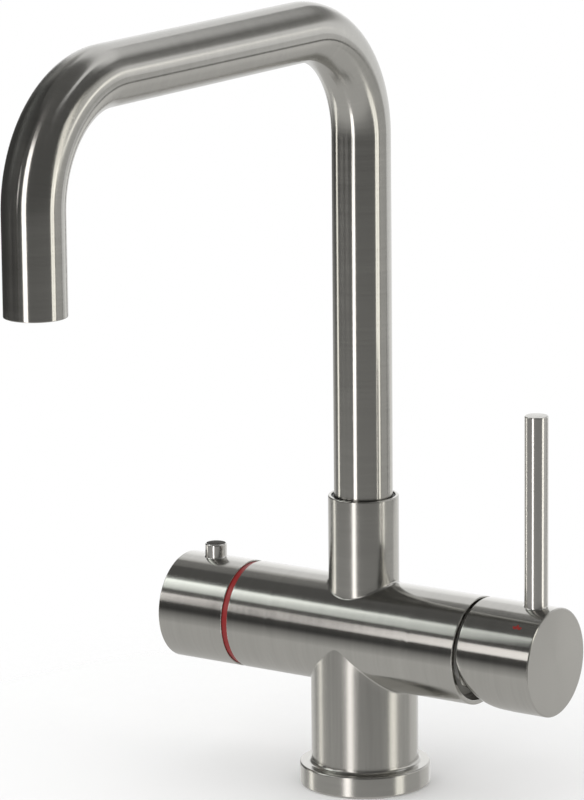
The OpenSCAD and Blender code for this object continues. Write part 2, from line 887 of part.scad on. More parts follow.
// The valve's moving ceramic disc, which turns with the spindle.
module spindle_disc() {
    color("#dcd8cc")
    difference() {
        xbar(disc_bore - 0.2, spindle_x1, spindle_x1 + valve_disc_t);
        xhole(1.6, spindle_x1 - 1, spindle_x1 + valve_disc_t + 1, -1.8, 0);
    }
}

// The rubber ring round the spindle.
module spindle_seal_ring() {
    color("#1c1c1c")
        xseal(spindle_r + running_gap / 2, spindle_seal_x, 0.55);
}

// The screw in the spindle's end that keeps the knob on.
module spindle_screw() {
    color("#9a9a98")
    difference() {
        union() {
            xbar(spindle_r + 1.4, spindle_x0 - screw_head_t, spindle_x0);
            xbar(1.6, spindle_x0 - eps, spindle_x0 + 7.5);
        }
        translate([spindle_x0 - screw_head_t - 1, 0, axis_z])
            rotate([0, 90, 0])
                cylinder(r = 1.7, h = 2.6, $fn = 6);
    }
}

// ---------------------------------------------------------------- boiling knob

// The knob: a turned cup that slides and turns on the spindle, with a lip over the red ring.
module knob_shell() {
    bore = spindle_r + running_gap;
    color("#b3b0a8")
    difference() {
        union() {
            difference() {
                bevelled_xbar(barrel_r, knob_x0, ring_edge, edge_bevel);
                xbar(ring_r + 0.1, ring_edge - lip_depth, ring_edge + 1);
                xbar(knob_bore, web_x1, ring_edge);
            }
            xbar(hub_r, web_x1 - eps, hub_x);
        }
        xbar(cap_r, knob_x0 - 1, cap_x);
        xbar(hub_r + 1, cap_x - eps, web_x0);
        // The hole with its flat, which fits the spindle.
        difference() {
            xbar(bore, web_x0 - 1, hub_x + 1);
            translate([web_x0 - 2, -spindle_r - 1, axis_z + spindle_r - 1 + running_gap])
                cube([hub_x - web_x0 + 4, 2 * spindle_r + 2, 2]);
        }
        zbar(stub_r + seat_gap, axis_z + barrel_r - 3, axis_z + barrel_r + 1, stub_x);
        // The key's seat in the bore.
        translate([ring_edge - lip_depth - 8, -2.05, axis_z - knob_bore - 1])
            cube([8 + eps, 4.1, 4]);
    }
}

// The short pin that the fingers turn the knob with.
module stub_pin() {
    bottom = axis_z + barrel_r - 3;
    height = 3 + stub_h;
    round_r = 0.6;
    color("#b8b5ad")
    translate([stub_x, 0, bottom])
        rotate_extrude() {
            square([stub_r, height - round_r]);
            square([stub_r - round_r, height]);
            translate([stub_r - round_r, height - round_r])
                circle(r = round_r, $fn = 48);
        }
}

// The key in the knob's bore, which runs in the collar's track while the knob is pushed in.
module lock_key() {
    key_x1 = collar_x - 0.5;
    color("#77797a")
    translate([key_x1 - 5, -2, axis_z - knob_bore - 0.95])
        cube([5, 4, 4.4]);
}

// The round cap that closes the knob's end over the screw.
module knob_end_cap() {
    color("#b3b0a8")
        xbar(cap_r - seat_gap, knob_x0, cap_x - 0.1);
}

// The point at one angle of a wire's ring, on a helix round the barrel's centre line.
function helix_point(turn_angle, ring_angle, radius, wire, x) = [
    x + wire * sin(ring_angle),
    (radius + wire * cos(ring_angle)) * cos(turn_angle),
    axis_z + (radius + wire * cos(ring_angle)) * sin(turn_angle)
];

// The coil spring that pushes the knob back out.
module knob_spring() {
    sides = 6;
    steps = 18 * spring_turns;
    wire = spring_wire / 2;
    x0 = web_x1 + wire + 0.1;
    x1 = collar_x - wire - 0.1;
    radius = valve_neck_r + 0.5 + wire;
    points = [
        for (i = [0 : steps])
            for (k = [0 : sides - 1])
                helix_point(
                    360 * spring_turns * i / steps, 360 * k / sides,
                    radius, wire, x0 + (x1 - x0) * i / steps
                )
    ];
    walls = [
        for (i = [0 : steps - 1])
            for (k = [0 : sides - 1])
                let (a = i * sides + k, b = i * sides + (k + 1) % sides)
                    for (face = [[a, b, b + sides], [a, b + sides, a + sides]])
                        face
    ];
    first = [for (k = [1 : sides - 2]) [0, k + 1, k]];
    last = [
        for (k = [1 : sides - 2])
            [steps * sides, steps * sides + k, steps * sides + k + 1]
    ];
    color("#9a9a98")
        polyhedron(points = points, faces = concat(walls, first, last));
}

// ---------------------------------------------------------------- spout

// A round bar that follows the spout's centre line from z0 up, over and down to z1.
module spout_path(r, z0, z1) {
    rear_y = -rear_bend;
    front_y = -reach + front_bend;
    zbar(r, z0, arm_z - rear_bend);
    // The bend over the riser.
    translate([0, rear_y, arm_z - rear_bend])
        rotate([0, -90, 0])
            rotate_extrude(angle = 90)
                translate([rear_bend, 0])
                    circle(r = r);
    translate([0, front_y, arm_z])
        rotate([-90, 0, 0])
            cylinder(r = r, h = rear_y - front_y);
    // The bend over the outlet.
    translate([0, front_y, arm_z - front_bend])
        rotate([0, -90, 0])
            rotate([0, 0, -90])
                rotate_extrude(angle = 90)
                    translate([front_bend, 0])
                        circle(r = r);
    zbar(r, z1, arm_z - front_bend, 0, -reach);
}

// The spout: one bent tube with a wide, square bow.
module spout_tube() {
    color("#b3b0a8")
    difference() {
        spout_path(tube_r, tube_z0, outlet_z);
        spout_path(tube_bore, tube_z0 - 1, outlet_z - 1);
    }
}

// The brass foot that the spout turns on in the neck, with grooves for seals and stop.
module spout_foot() {
    stop_half = swing + asin(stop_tip_r / groove_r) + 2;
    color("#b98f4a")
    difference() {
        union() {
            zbar(swivel_r, foot_z0, tube_z0);
            zbar(tube_bore - seat_gap, tube_z0 - eps, tube_z0 + foot_spigot);
        }
        zbar(foot_water_r, foot_z0 - 1, tube_z0 + foot_spigot + 1);
        for (z = [foot_z0 + seal_inset, tube_z0 - seal_inset])
            zring(
                swivel_r + 1, neck_bore - seal_gap - seal_groove_d - 0.05,
                z - seal_groove_h / 2, z + seal_groove_h / 2
            );
        translate([0, 0, stop_z - stop_tip_r - stop_play])
            rotate([0, 0, 90 - stop_half])
                rotate_extrude(angle = 2 * stop_half)
                    translate([groove_r, 0])
                        square([4, 2 * (stop_tip_r + stop_play)]);
    }
}

// The two rubber rings round the spout's foot.
module foot_seal_rings() {
    color("#1c1c1c") {
        zseal(neck_bore - seal_gap, foot_z0 + seal_inset);
        zseal(neck_bore - seal_gap, tube_z0 - seal_inset);
    }
}

// The separate tube that carries the boiling water through the spout.
module boiling_tube() {
    z0 = boil_socket_z + 0.5;
    z1 = outlet_z + 8;
    color("#c9c6bf")
    difference() {
        spout_path(boil_tube_r, z0, z1);
        spout_path(boil_tube_r - boil_tube_wall, z0 - 1, z1 - 1);
    }
}

// A round bar on the outlet's own axis.
module outlet_bar(r, z0, z1) {
    zbar(r, outlet_z + z0, outlet_z + z1, 0, -reach);
}

// The ring that holds the stream former in the spout's end.
module outlet_insert() {
    color("#8c8f90")
    difference() {
        outlet_bar(tube_bore - seat_gap, 0.8, 14);
        outlet_bar(tube_bore - 2, 2.2, 15);
        outlet_bar(tube_bore - 2.8, 0, 3);
        // The rubber ring's groove.
        difference() {
            outlet_bar(tube_bore + 1, 9, 11.6);
            outlet_bar(tube_bore - 1.5, 8, 12);
        }
    }
}

// The rubber ring round the outlet insert.
module outlet_seal() {
    color("#1c1c1c")
    translate([0, -reach, outlet_z + 10.3])
        rotate_extrude()
            translate([tube_bore - 0.03 - 0.7, 0])
                circle(r = 0.7, $fn = 48);
}

// The perforated ring that shapes the mixed stream round the boiling nozzle.
module aerator_screen() {
    hole_ring = (tube_bore - 2 + boil_tube_r + 0.9) / 2;
    color("#55585a")
    difference() {
        outlet_bar(tube_bore - 2 - seat_gap, 2.2, 4.6);
        outlet_bar(boil_tube_r + 0.9 + seat_gap, 2, 5);
        for (a = [0 : 20 : 340])
            translate([hole_ring * cos(a), hole_ring * sin(a) - reach, outlet_z + 2])
                cylinder(r = 0.8, h = 3);
    }
}

// The nozzle at the boiling tube's end.
module boiling_nozzle() {
    color("#a8a59d")
    difference() {
        outlet_bar(boil_tube_r + 0.9, 1.4, 12);
        outlet_bar(boil_tube_r - 1.2, 0, 13);
        outlet_bar(boil_tube_r + seat_gap, 7.9, 13);
    }
}

body_shell();
base_flange();
base_gasket();
foot_plate();
foot_circlip();
riser_pipes();
waterway_block();
block_seal_rings();
neck_glide_ring();
swivel_stop_screw();
cartridge_housing();
cartridge_seals();
fixed_disc();
cartridge_nut();
nut_cover();
valve_housing();
valve_seal();
valve_fixed_disc();
red_ring();
lock_collar();
spout_tube();
spout_foot();
foot_seal_rings();
boiling_tube();
outlet_seal();
outlet_insert();
aerator_screen();
boiling_nozzle();
cartridge_rotor();
rotor_seal_ring();
tilt_pin();
moving_disc();
disc_carrier();
cartridge_stem();
handle_shell();
lever_pin();
handle_grub_screw();
grub_screw_plug();
hot_mark();
cold_mark();
valve_spindle();
spindle_disc();
spindle_seal_ring();
spindle_screw();
knob_shell();
stub_pin();
lock_key();
knob_end_cap();
knob_spring();
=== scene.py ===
# %% [markdown]
# # A boiling water tap in brushed stainless steel
# The tap is made of turned and bent steel: a barrel with a column under it and a neck on it, a
# mixer handle at one end, a boiling knob with a red ring at the other, and a wide square spout.
# The measured model is loaded first. It stays as it is, and every piece made here sits on it.

# %% Load the measured model
import json
import math

import bmesh
import bpy
from mathutils import Matrix, Vector


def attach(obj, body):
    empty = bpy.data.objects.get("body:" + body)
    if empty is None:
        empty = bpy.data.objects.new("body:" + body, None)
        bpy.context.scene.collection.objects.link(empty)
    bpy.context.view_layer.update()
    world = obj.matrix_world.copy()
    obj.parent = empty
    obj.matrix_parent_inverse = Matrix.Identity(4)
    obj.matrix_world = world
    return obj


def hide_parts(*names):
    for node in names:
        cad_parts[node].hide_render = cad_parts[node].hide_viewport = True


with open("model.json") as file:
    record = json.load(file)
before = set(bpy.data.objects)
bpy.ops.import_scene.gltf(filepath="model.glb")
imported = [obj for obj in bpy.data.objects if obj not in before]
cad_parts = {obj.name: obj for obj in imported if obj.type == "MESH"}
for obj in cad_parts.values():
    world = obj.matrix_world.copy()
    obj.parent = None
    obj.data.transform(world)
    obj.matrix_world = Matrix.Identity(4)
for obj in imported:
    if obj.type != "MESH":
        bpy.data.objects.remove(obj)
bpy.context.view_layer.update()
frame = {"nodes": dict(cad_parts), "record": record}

# %% [markdown]
# ## The camera
# The photograph was taken with a long lens, from the right and a little above. Its place and lens
# come from the edges of the tubes and rings, so the model and the photograph line up. A camera's
# own axes are right, up and backwards, and they make the three columns of its rotation.

# %% Place the camera
lens = bpy.data.cameras.new("camera")
lens.lens = 219.95
lens.sensor_width = 36.0
lens.clip_end = 20.0
camera = bpy.data.objects.new("camera", lens)
right = Vector((0.83136, 0.55566, -0.00928))
up = Vector((-0.11233, 0.18437, 0.97642))
back = Vector((0.54427, -0.81071, 0.21569))
turn = Matrix((right, up, back)).transposed().to_4x4()
camera.matrix_world = Matrix.Translation((1.09418, -1.68324, 0.61018)) @ turn
bpy.context.scene.collection.objects.link(camera)
bpy.context.scene.camera = camera
print("camera:", lens.lens, "mm lens,", round(camera.location.length, 2), "m away")

# %% [markdown]
# ## How the pieces are drawn
# Most pieces of a tap come off a lathe, so a piece is a set of rings of points, joined by
# four-sided faces. Blender could spin a curve or use a screw modifier. Rings from plain numbers
# were chosen, because each corner can also carry two things that the steel needs: a UV whose U
# runs along the turning axis, and a grain point, which gives the brush lines their place on the
# metal.

# %% A draft that collects rings of points
MM = 0.001
WELD = 2e-6
SPLINTER = 1e-7


class Draft:
    """Rings of points, their faces, and what each face and corner carries."""

    def __init__(self):
        self.points, self.faces, self.uvs, self.grains, self.finish = [], [], [], [], []

    def skin(self, rows, uv, grain, finish=0):
        """Joins rows of points with faces. uv and grain say what corner (row, column) carries."""
        start, count = len(self.points), len(rows[0])
        for row in rows:
            self.points += row
        for i in range(len(rows) - 1):
            for j in range(count):
                corners = [(i, j), (i, j + 1), (i + 1, j + 1), (i + 1, j)]
                self.faces.append([start + a * count + b % count for a, b in corners])
                self.finish.append(finish)
                self.uvs += [uv(a, b) for a, b in corners]
                self.grains += [grain(rows[a][b % count]) for a, b in corners]

    def build(self, name, sharp=32):
        mesh = bpy.data.meshes.new(name)
        mesh.from_pydata(self.points, [], self.faces)
        mesh.polygons.foreach_set("material_index", self.finish)
        layer = mesh.uv_layers.new(name="turned")
        layer.data.foreach_set("uv", [c for uv in self.uvs for c in uv])
        spots = mesh.attributes.new("grain", "FLOAT_VECTOR", "CORNER")
        spots.data.foreach_set("vector", [c for g in self.grains for c in g])
        work = bmesh.new()
        work.from_mesh(mesh)
        bmesh.ops.remove_doubles(work, verts=work.verts, dist=WELD)
        bmesh.ops.dissolve_degenerate(work, edges=work.edges, dist=SPLINTER)
        bmesh.ops.recalc_face_normals(work, faces=work.faces)
        work.to_mesh(mesh)
        work.free()
        mesh.polygons.foreach_set("use_smooth", [True] * len(mesh.polygons))
        mesh.set_sharp_from_angle(angle=math.radians(sharp))
        piece = bpy.data.objects.new(name, mesh)
        bpy.context.scene.collection.objects.link(piece)
        return piece


def along_x(p):
    return (p[0], p[1], p[2])


def along_z(p):
    return (p[2], p[0], p[1])


trial = Draft()
trial.skin([[(0, 0, z), (1, 0, z), (0, 1, z)] for z in (0, 1)], lambda i, j: (i, j), along_z)
print("a trial draft:", len(trial.points), "points and", len(trial.faces), "faces")

# %% [markdown]
# ## Soft corners
# No edge on a real tap is perfectly sharp: the lathe or the buffing wheel leaves a tiny round,
# and it catches the light. A bevel modifier could add it later. Here a profile is written with a
# radius at each corner, and a helper turns the corners into arcs, so every round is chosen by
# name. It adds a ring close to each arc, so that the shading of a long flat stays flat up to its
# edge.

# %% Round the corners of a profile
STRAIGHT = 1.55


def soften(corners, steps=5, hold=0.2 * MM):
    """corners: (along, radius, round) in metres. Returns (along, radius) points."""
    spots = [Vector((c[0], c[1])) for c in corners]
    line = [spots[0]]
    for k in range(1, len(spots) - 1):
        rounding = corners[k][2]
        before, here, after = spots[k - 1], spots[k], spots[k + 1]
        to_a, to_b = (before - here).normalized(), (after - here).normalized()
        half = to_a.angle(to_b) / 2
        if rounding <= 0 or half > STRAIGHT:
            line.append(here)
            continue
        middle = here + (to_a + to_b).normalized() * rounding / math.sin(half)
        reach = rounding / math.tan(half)
        first = (here + to_a * reach - middle).normalized()
        last = (here + to_b * reach - middle).normalized()
        line += [middle + first.slerp(last, t / steps) * rounding for t in range(steps + 1)]
    line.append(spots[-1])
    held = [line[0]]
    for a, b in zip(line, line[1:]):
        gap = (b - a).length
        if gap > 4 * hold:
            held += [a + (b - a) * hold / gap, b - (b - a) * hold / gap]
        held.append(b)
    return [(p.x, p.y) for p in held]


square = soften([(0, 0, 0), (10 * MM, 0, 1 * MM), (10 * MM, 10 * MM, 0)])
print("a square corner with a 1 mm round:", len(square), "points")

# %% Turn a profile round an axis
BARREL_Z = 65.8 * MM
UV_SCALE = 10
X_AXIS = ((1, 0, 0), (0, 0, 1), (0, -1, 0), along_x)
Z_AXIS = ((0, 0, 1), (0, -1, 0), (1, 0, 0), along_z)


def round_angles(count):
    return [math.tau * k / count for k in range(count)]


def run_along(profile):
    """How far along a profile each of its points lies."""
    run = [0.0]
    for (a, r), (b, s) in zip(profile, profile[1:]):
        run.append(run[-1] + math.hypot(b - a, s - r))
    return run


def turned(name, profile, count, axis=X_AXIS, centre=(0, 0, BARREL_Z), shape=None):
    """Spins a profile of (along, radius) points. shape may change a point's radius."""
    ahead, first, second = (Vector(v) for v in axis[:3])
    rows = []
    for along, radius in profile:
        row = []
        for angle in round_angles(count):
            r = shape(along, radius, angle) if shape else radius
            side = first * math.cos(angle) + second * math.sin(angle)
            row.append(tuple(Vector(centre) + ahead * along + side * r))
        rows.append(row)
    run = run_along(profile)
    draft = Draft()
    draft.skin(rows, lambda i, j: (run[i] * UV_SCALE, j / count), axis[3])
    return draft.build(name)


print("the barrel's axis is", round(BARREL_Z / MM, 1), "mm above the worktop")

# %% [markdown]
# ## Brushed steel
# All the outside is stainless steel with a fine satin brush. A brush leaves thousands of parallel
# scratches, and they smear a reflection across themselves: a turned piece shows long streaks
# along its axis. The shader does this with anisotropy, and the UV's U direction tells it which
# way to smear. The same scratches are drawn as fine noise, stretched along the brush, in the
# colour, the roughness and a slight bump. An image would do too, but noise has no seam and no
# size limit.

# %% A few small shader helpers
NOISE_LOW, NOISE_HIGH = 0.25, 0.75


def fresh_material(name):
    material = bpy.data.materials.new(name)
    material.use_nodes = True
    tree = material.node_tree
    tree.nodes.clear()
    out = tree.nodes.new("ShaderNodeOutputMaterial")
    shader = tree.nodes.new("ShaderNodeBsdfPrincipled")
    tree.links.new(shader.outputs[0], out.inputs[0])
    return material, tree, shader


def add_node(tree, kind, values=None, **settings):
    node = tree.nodes.new(kind)
    for key, value in settings.items():
        setattr(node, key, value)
    for key, value in (values or {}).items():
        if isinstance(value, bpy.types.NodeSocket):
            tree.links.new(value, node.inputs[key])
        else:
            node.inputs[key].default_value = value
    return node


def stretched_noise(tree, place, stretch, detail):
    """Noise on coordinates that are scaled by stretch, one number for each axis."""
    scaled = add_node(tree, "ShaderNodeVectorMath", {0: place, 1: stretch}, operation="MULTIPLY")
    noise = add_node(
        tree, "ShaderNodeTexNoise",
        {"Vector": scaled.outputs[0], "Scale": 1.0, "Detail": detail, "Roughness": 0.6},
    )
    return noise.outputs[0]


def between(tree, value, low, high):
    """Maps a noise value, which mostly lies between the two limits, onto low to high."""
    node = add_node(tree, "ShaderNodeMapRange", {
        "Value": value, "From Min": NOISE_LOW, "From Max": NOISE_HIGH,
        "To Min": low, "To Max": high,
    })
    return node.outputs[0]


print("noise from", NOISE_LOW, "to", NOISE_HIGH, "is spread over each range")

# %% Grain in the colour and in the surface
BUMP_DEPTH = 0.2 * MM
WORN = 0.15


def grainy_colour(tree, shader, noise, colour, spread):
    """The noise moves the colour up and down by its share, spread."""
    mix = add_node(tree, "ShaderNodeMix", {"Factor": between(tree, noise, 0.0, 1.0)},
                   data_type="RGBA")
    mix.inputs[6].default_value = (*[c * (1 - spread) for c in colour], 1)
    mix.inputs[7].default_value = (*[min(1.0, c * (1 + spread)) for c in colour], 1)
    tree.links.new(mix.outputs[2], shader.inputs["Base Color"])


def grainy_roughness(tree, noise, rough):
    return between(tree, noise, rough * (1 - WORN), rough * (1 + WORN))


def grainy_bump(tree, shader, noise, relief):
    bump = add_node(tree, "ShaderNodeBump", {
        "Strength": relief, "Distance": BUMP_DEPTH, "Height": noise,
    })
    tree.links.new(bump.outputs[0], shader.inputs["Normal"])


print("a bump is at most", BUMP_DEPTH / MM, "mm deep, roughness varies by", WORN)

# %% Steel with its brush lines
CLOUDS = 14
CLOUDED = 0.012


def brushed_steel(name, colour, rough, smear, along=900, across=25, contrast=0.06, relief=0.03):
    """along and across: brush lines per metre, along the turning axis and round it."""
    material, tree, shader = fresh_material(name)
    place = add_node(tree, "ShaderNodeAttribute", attribute_name="grain").outputs["Vector"]
    tangent = add_node(tree, "ShaderNodeTangent", direction_type="UV_MAP", uv_map="turned")
    tree.links.new(tangent.outputs[0], shader.inputs["Tangent"])
    fine = stretched_noise(tree, place, (along, across, across), 2.0)
    broad = stretched_noise(tree, place, (along / 9, across / 3, across / 3), 3.0)
    cloud = stretched_noise(tree, place, (CLOUDS, CLOUDS, CLOUDS), 2.0)
    both = add_node(tree, "ShaderNodeMath", {0: fine, 1: broad}, operation="ADD").outputs[0]
    half = add_node(tree, "ShaderNodeMath", {0: both, 1: 0.5}, operation="MULTIPLY").outputs[0]
    worn = add_node(tree, "ShaderNodeMath", {
        0: grainy_roughness(tree, half, rough), 1: between(tree, cloud, -CLOUDED, CLOUDED),
    }, operation="ADD")
    tree.links.new(worn.outputs[0], shader.inputs["Roughness"])
    grainy_colour(tree, shader, half, colour, contrast)
    grainy_bump(tree, shader, half, relief)
    shader.inputs["Metallic"].default_value = 1.0
    shader.inputs["Anisotropic"].default_value = smear
    return material


# The second colour is the same steel made paler for the pins. It is painted light, for the extra
# brightness that the lever and stub catch from the strip lights beside them.
STEEL, LIT_PALE_STEEL = (0.50, 0.493, 0.468), (0.67, 0.66, 0.64)
turned_steel = brushed_steel("turned steel", STEEL, 0.155, 0.75)
bar_steel = brushed_steel("bar steel", STEEL, 0.235, 0.5, along=25, across=700, contrast=0.09)
foot_steel = brushed_steel("foot steel", STEEL, 0.24, 0.3, along=500, across=40)
tube_steel = brushed_steel("tube steel", STEEL, 0.18, 0.9, relief=0.004)
# The pins' steel is the paler copy, a painted light.
pin_steel_painted_light = brushed_steel(
    "pin steel painted paler", LIT_PALE_STEEL, 0.2, 0.5, along=60, across=400, contrast=0.04, relief=0.001,
)
steels = (turned_steel, bar_steel, foot_steel, tube_steel, pin_steel_painted_light)
print("steels:", ", ".join(m.name for m in steels))

# %% [markdown]
# ## Barrel, column and neck
# On the real tap the column and the neck are tubes welded to the barrel, and the seams are ground
# to a small hollow round. Cutting the shapes with a boolean and bevelling the edge could do it,
# but the shading round the cut gets blotchy. Here the round is computed as if a small ball rolled
# in the corner between two round bars. The barrel's skin is then drawn from the edge of that
# round out to a rectangle, so the faces flow round each opening. Neck and column are brushed in
# different ways, so each face also says which finish it takes.

# %% The round between the barrel and a bar that stands on it
BARREL_R = 23.0 * MM


def rolled_corner(angle, bar_r, ball, steps, side=1):
    """Points from the upright bar to the barrel, for one angle round the bar.

    side is 1 on top of the barrel and -1 under it."""
    cos, sin = math.cos(angle), math.sin(angle)
    far = bar_r + ball
    centre = Vector((far * cos, far * sin, math.sqrt((BARREL_R + ball) ** 2 - (far * sin) ** 2)))
    to_bar = Vector((-cos, -sin, 0))
    to_barrel = -Vector((0, centre.y, centre.z)).normalized()
    row = []
    for k in range(steps + 1):
        p = centre + to_bar.slerp(to_barrel, k / steps) * ball
        row.append((p.x, p.y, BARREL_Z + side * p.z))
    return row


def rectangle_spot(k, count, half_x, half_angle):
    """Walks round a rectangle of the barrel's skin, in step with the angle round the bar."""
    quarter = count // 4
    side, t = divmod(k + quarter // 2, quarter)
    t = 2 * t / quarter - 1
    spot = [(1, t), (-t, 1), (-1, -t), (t, -1)][side % 4]
    return spot[0] * half_x, spot[1] * half_angle


def barrel_point(x, angle, side):
    """A point of the barrel's skin. The angle runs from the top (side 1) or the bottom (-1)."""
    z = BARREL_Z + side * BARREL_R * math.cos(angle)
    return (x, BARREL_R * math.sin(angle), z)


trial_row = rolled_corner(0, 15 * MM, 1 * MM, 8)
print("a trial round:", [round(z / MM, 1) for x, y, z in (trial_row[0], trial_row[-1])], "mm up")

# %% A bar and the barrel's skin round it
ROUND_COUNT = 192
ROUND_STEPS, BAR_ROWS, SKIN_ROWS = 8, 12, 14
HALF_X = 36 * MM
BALL = 1.0 * MM
ROW_STEP = 0.01
# The third finish marks the faces inside the bores and recesses, whose steel is painted dark as
# their shade.
TURNED, BRUSHED, BORE_SHADE = 0, 1, 2


def part_way(a, b, t):
    return tuple(p + (q - p) * t for p, q in zip(a, b))


def bar_skin(draft, corner, end_profile, bore, finish):
    """The bar, from its own end to the round, and the round."""
    angles = round_angles(ROUND_COUNT)
    rows = [[(r * math.cos(a), r * math.sin(a), z) for a in angles] for z, r in end_profile]
    last = end_profile[-1][0]
    for t in range(1, BAR_ROWS + 1):
        rows.append([
            (c[0][0], c[0][1], last + (c[0][2] - last) * t / BAR_ROWS) for c in corner
        ])
    inside = sum(row[0][0] <= bore + WELD for row in rows)
    inner, outer = rows[:inside], rows[inside - 1:]
    rounding = [[c[k] for c in corner] for k in range(ROUND_STEPS + 1)]
    # The faces inside the bore take the dark steel, which is painted shade.
    draft.skin(inner, lambda i, j: (j / ROUND_COUNT, i * ROW_STEP), along_z, BORE_SHADE)
    draft.skin(
        outer, lambda i, j: (j / ROUND_COUNT, outer[i][j % ROUND_COUNT][2] * UV_SCALE),
        along_z, finish,
    )
    draft.skin(rounding, lambda i, j: (j / ROUND_COUNT, i * ROW_STEP), along_z, finish)


def barrel_skin(draft, corner, side, half_angle):
    """The barrel's skin, from the edge of the round out to a rectangle."""
    edge = [(x, math.atan2(y, side * (z - BARREL_Z))) for x, y, z in (c[-1] for c in corner)]
    frames = [rectangle_spot(k, ROUND_COUNT, HALF_X, half_angle) for k in range(ROUND_COUNT)]
    flat = []
    for i in range(SKIN_ROWS + 1):
        t = (i / SKIN_ROWS) ** 1.4
        flat.append([part_way(a, b, t) for a, b in zip(edge, frames)])

    def uv(i, j):
        x, angle = flat[i][j % ROUND_COUNT]
        return x * UV_SCALE, angle / math.tau

    draft.skin([[barrel_point(x, a, side) for x, a in row] for row in flat], uv, along_x)


def bar_on_barrel(draft, bar_r, side, half_angle, end_profile, bore, finish):
    corner = [
        rolled_corner(a, bar_r, BALL, ROUND_STEPS, side) for a in round_angles(ROUND_COUNT)
    ]
    bar_skin(draft, corner, end_profile, bore, finish)
    barrel_skin(draft, corner, side, half_angle)


print("points round each bar:", ROUND_COUNT)

# %% The barrel's body with its two bars
def end_angles(half_top, half_bottom, steps):
    """Angles from the top round the barrel, as the two rectangles divide them."""
    top = [half_top * (2 * t / steps - 1) for t in range(steps)]
    bottom = [math.pi - half_bottom + 2 * half_bottom * t / steps for t in range(steps)]
    return top + bottom


TOP_HALF, BOTTOM_HALF = math.radians(80), math.radians(100)
body_draft = Draft()
NECK_R, NECK_BORE, NECK_TOP = 15.0 * MM, 13.6 * MM, 125.7 * MM
neck_profile = soften([
    (104 * MM, 0, 0), (104 * MM, 12.8 * MM, 0), (121.1 * MM, 12.8 * MM, 0),
    (121.1 * MM, NECK_BORE, 0), (NECK_TOP, NECK_BORE, 0.2 * MM), (NECK_TOP, NECK_R, 0.45 * MM),
    (NECK_TOP - 6 * MM, NECK_R, 0),
])
bar_on_barrel(body_draft, NECK_R, 1, TOP_HALF, neck_profile, NECK_BORE, TURNED)
COLUMN_R, COLUMN_BORE = 22.8 * MM, 19.5 * MM
column_profile = soften([
    (30 * MM, 0, 0), (30 * MM, 18.5 * MM, 0), (24 * MM, 18.5 * MM, 0), (24 * MM, COLUMN_BORE, 0),
    (2 * MM, COLUMN_BORE, 0), (2 * MM, COLUMN_R, 0), (9 * MM, COLUMN_R, 0),
])
bar_on_barrel(body_draft, COLUMN_R, -1, BOTTOM_HALF, column_profile, COLUMN_BORE, BRUSHED)
print("neck and column:", len(body_draft.faces), "faces")

# %% The barrel's two ends
END_R = 20.2 * MM
ends = end_angles(TOP_HALF, BOTTOM_HALF, ROUND_COUNT // 4)
right_end = soften([
    (HALF_X, BARREL_R, 0), (58 * MM, BARREL_R, 0.4 * MM), (58 * MM, 21 * MM, 0.3 * MM),
    (52.5 * MM, 21 * MM, 0), (52.5 * MM, 19.5 * MM, 0), (44.5 * MM, 19.5 * MM, 0),
    (44.5 * MM, 0, 0),
])
left_end = soften([
    (-HALF_X, BARREL_R, 0), (-55.5 * MM, BARREL_R, 0.4 * MM), (-55.5 * MM, 20.15 * MM, 0),
    (-53.5 * MM, 20.15 * MM, 0), (-53.5 * MM, 12.1 * MM, 0), (-31 * MM, 12.1 * MM, 0),
    (-31 * MM, 0, 0),
])
for profile in (right_end, left_end):
    rows = [
        [(x, r * math.sin(a), BARREL_Z + r * math.cos(a)) for a in ends] for x, r in profile
    ]
    run = run_along(profile)
    lip = max(k for k, (x, r) in enumerate(profile) if r > END_R) - 1
    body_draft.skin(
        rows[:lip + 1], lambda i, j: (run[i] * UV_SCALE, j / len(ends)), along_x, TURNED,
    )
    # The faces inside the lip take the dark steel, which is the painted shade of the recess.
    body_draft.skin(
        rows[lip:], lambda i, j: (run[i + lip] * UV_SCALE, j / len(ends)), along_x, BORE_SHADE,
    )
tap_barrel = body_draft.build("barrel_column_neck")
print("barrel, column and neck:", len(tap_barrel.data.polygons), "faces")

# %% [markdown]
# ## Foot flange
# The foot is a separate turned disc, pushed up over the column. Its top edge is softly rounded
# and a small cove leads up to the column. It could be a cylinder with a bevel, but that would
# look sharper than the real one, so it is turned from a profile too.

# %% Turn the foot
FOOT_R, FOOT_TOP, COVE = 27.9 * MM, 9.25 * MM, 1.6 * MM
flange_profile = soften([
    (2 * MM, 22.85 * MM, 0), (2 * MM, COLUMN_BORE, 0), (0, COLUMN_BORE, 0),
    (0, 21.4 * MM, 0), (1.3 * MM, 21.4 * MM, 0), (1.3 * MM, 25.4 * MM, 0), (0, 25.4 * MM, 0),
    (0, FOOT_R, 0.8 * MM), (FOOT_TOP, FOOT_R, 0.8 * MM),
    (FOOT_TOP, COLUMN_R + 0.02 * MM, COVE), (11.2 * MM, COLUMN_R + 0.02 * MM, 0),
    (11.2 * MM, COLUMN_R - 0.1 * MM, 0), (2 * MM, COLUMN_R - 0.1 * MM, 0),
    (2 * MM, 22.85 * MM, 0),
], steps=8)
foot = turned("foot_flange", flange_profile, 192, Z_AXIS, (0, 0, 0))
print("foot:", len(foot.data.polygons), "faces")

# %% [markdown]
# ## Mixer handle
# The handle is a turned cup. Its inner edge is cut away by a ball-shaped relief, deep underneath
# and shallow round the rest, which lets it tilt without touching the barrel. A boolean with a
# ball could cut it, but its edge would be a hard line. Here the relief changes the radius from
# place to place, so the turning helper gets a shape function, and the two surfaces ease into each
# other.

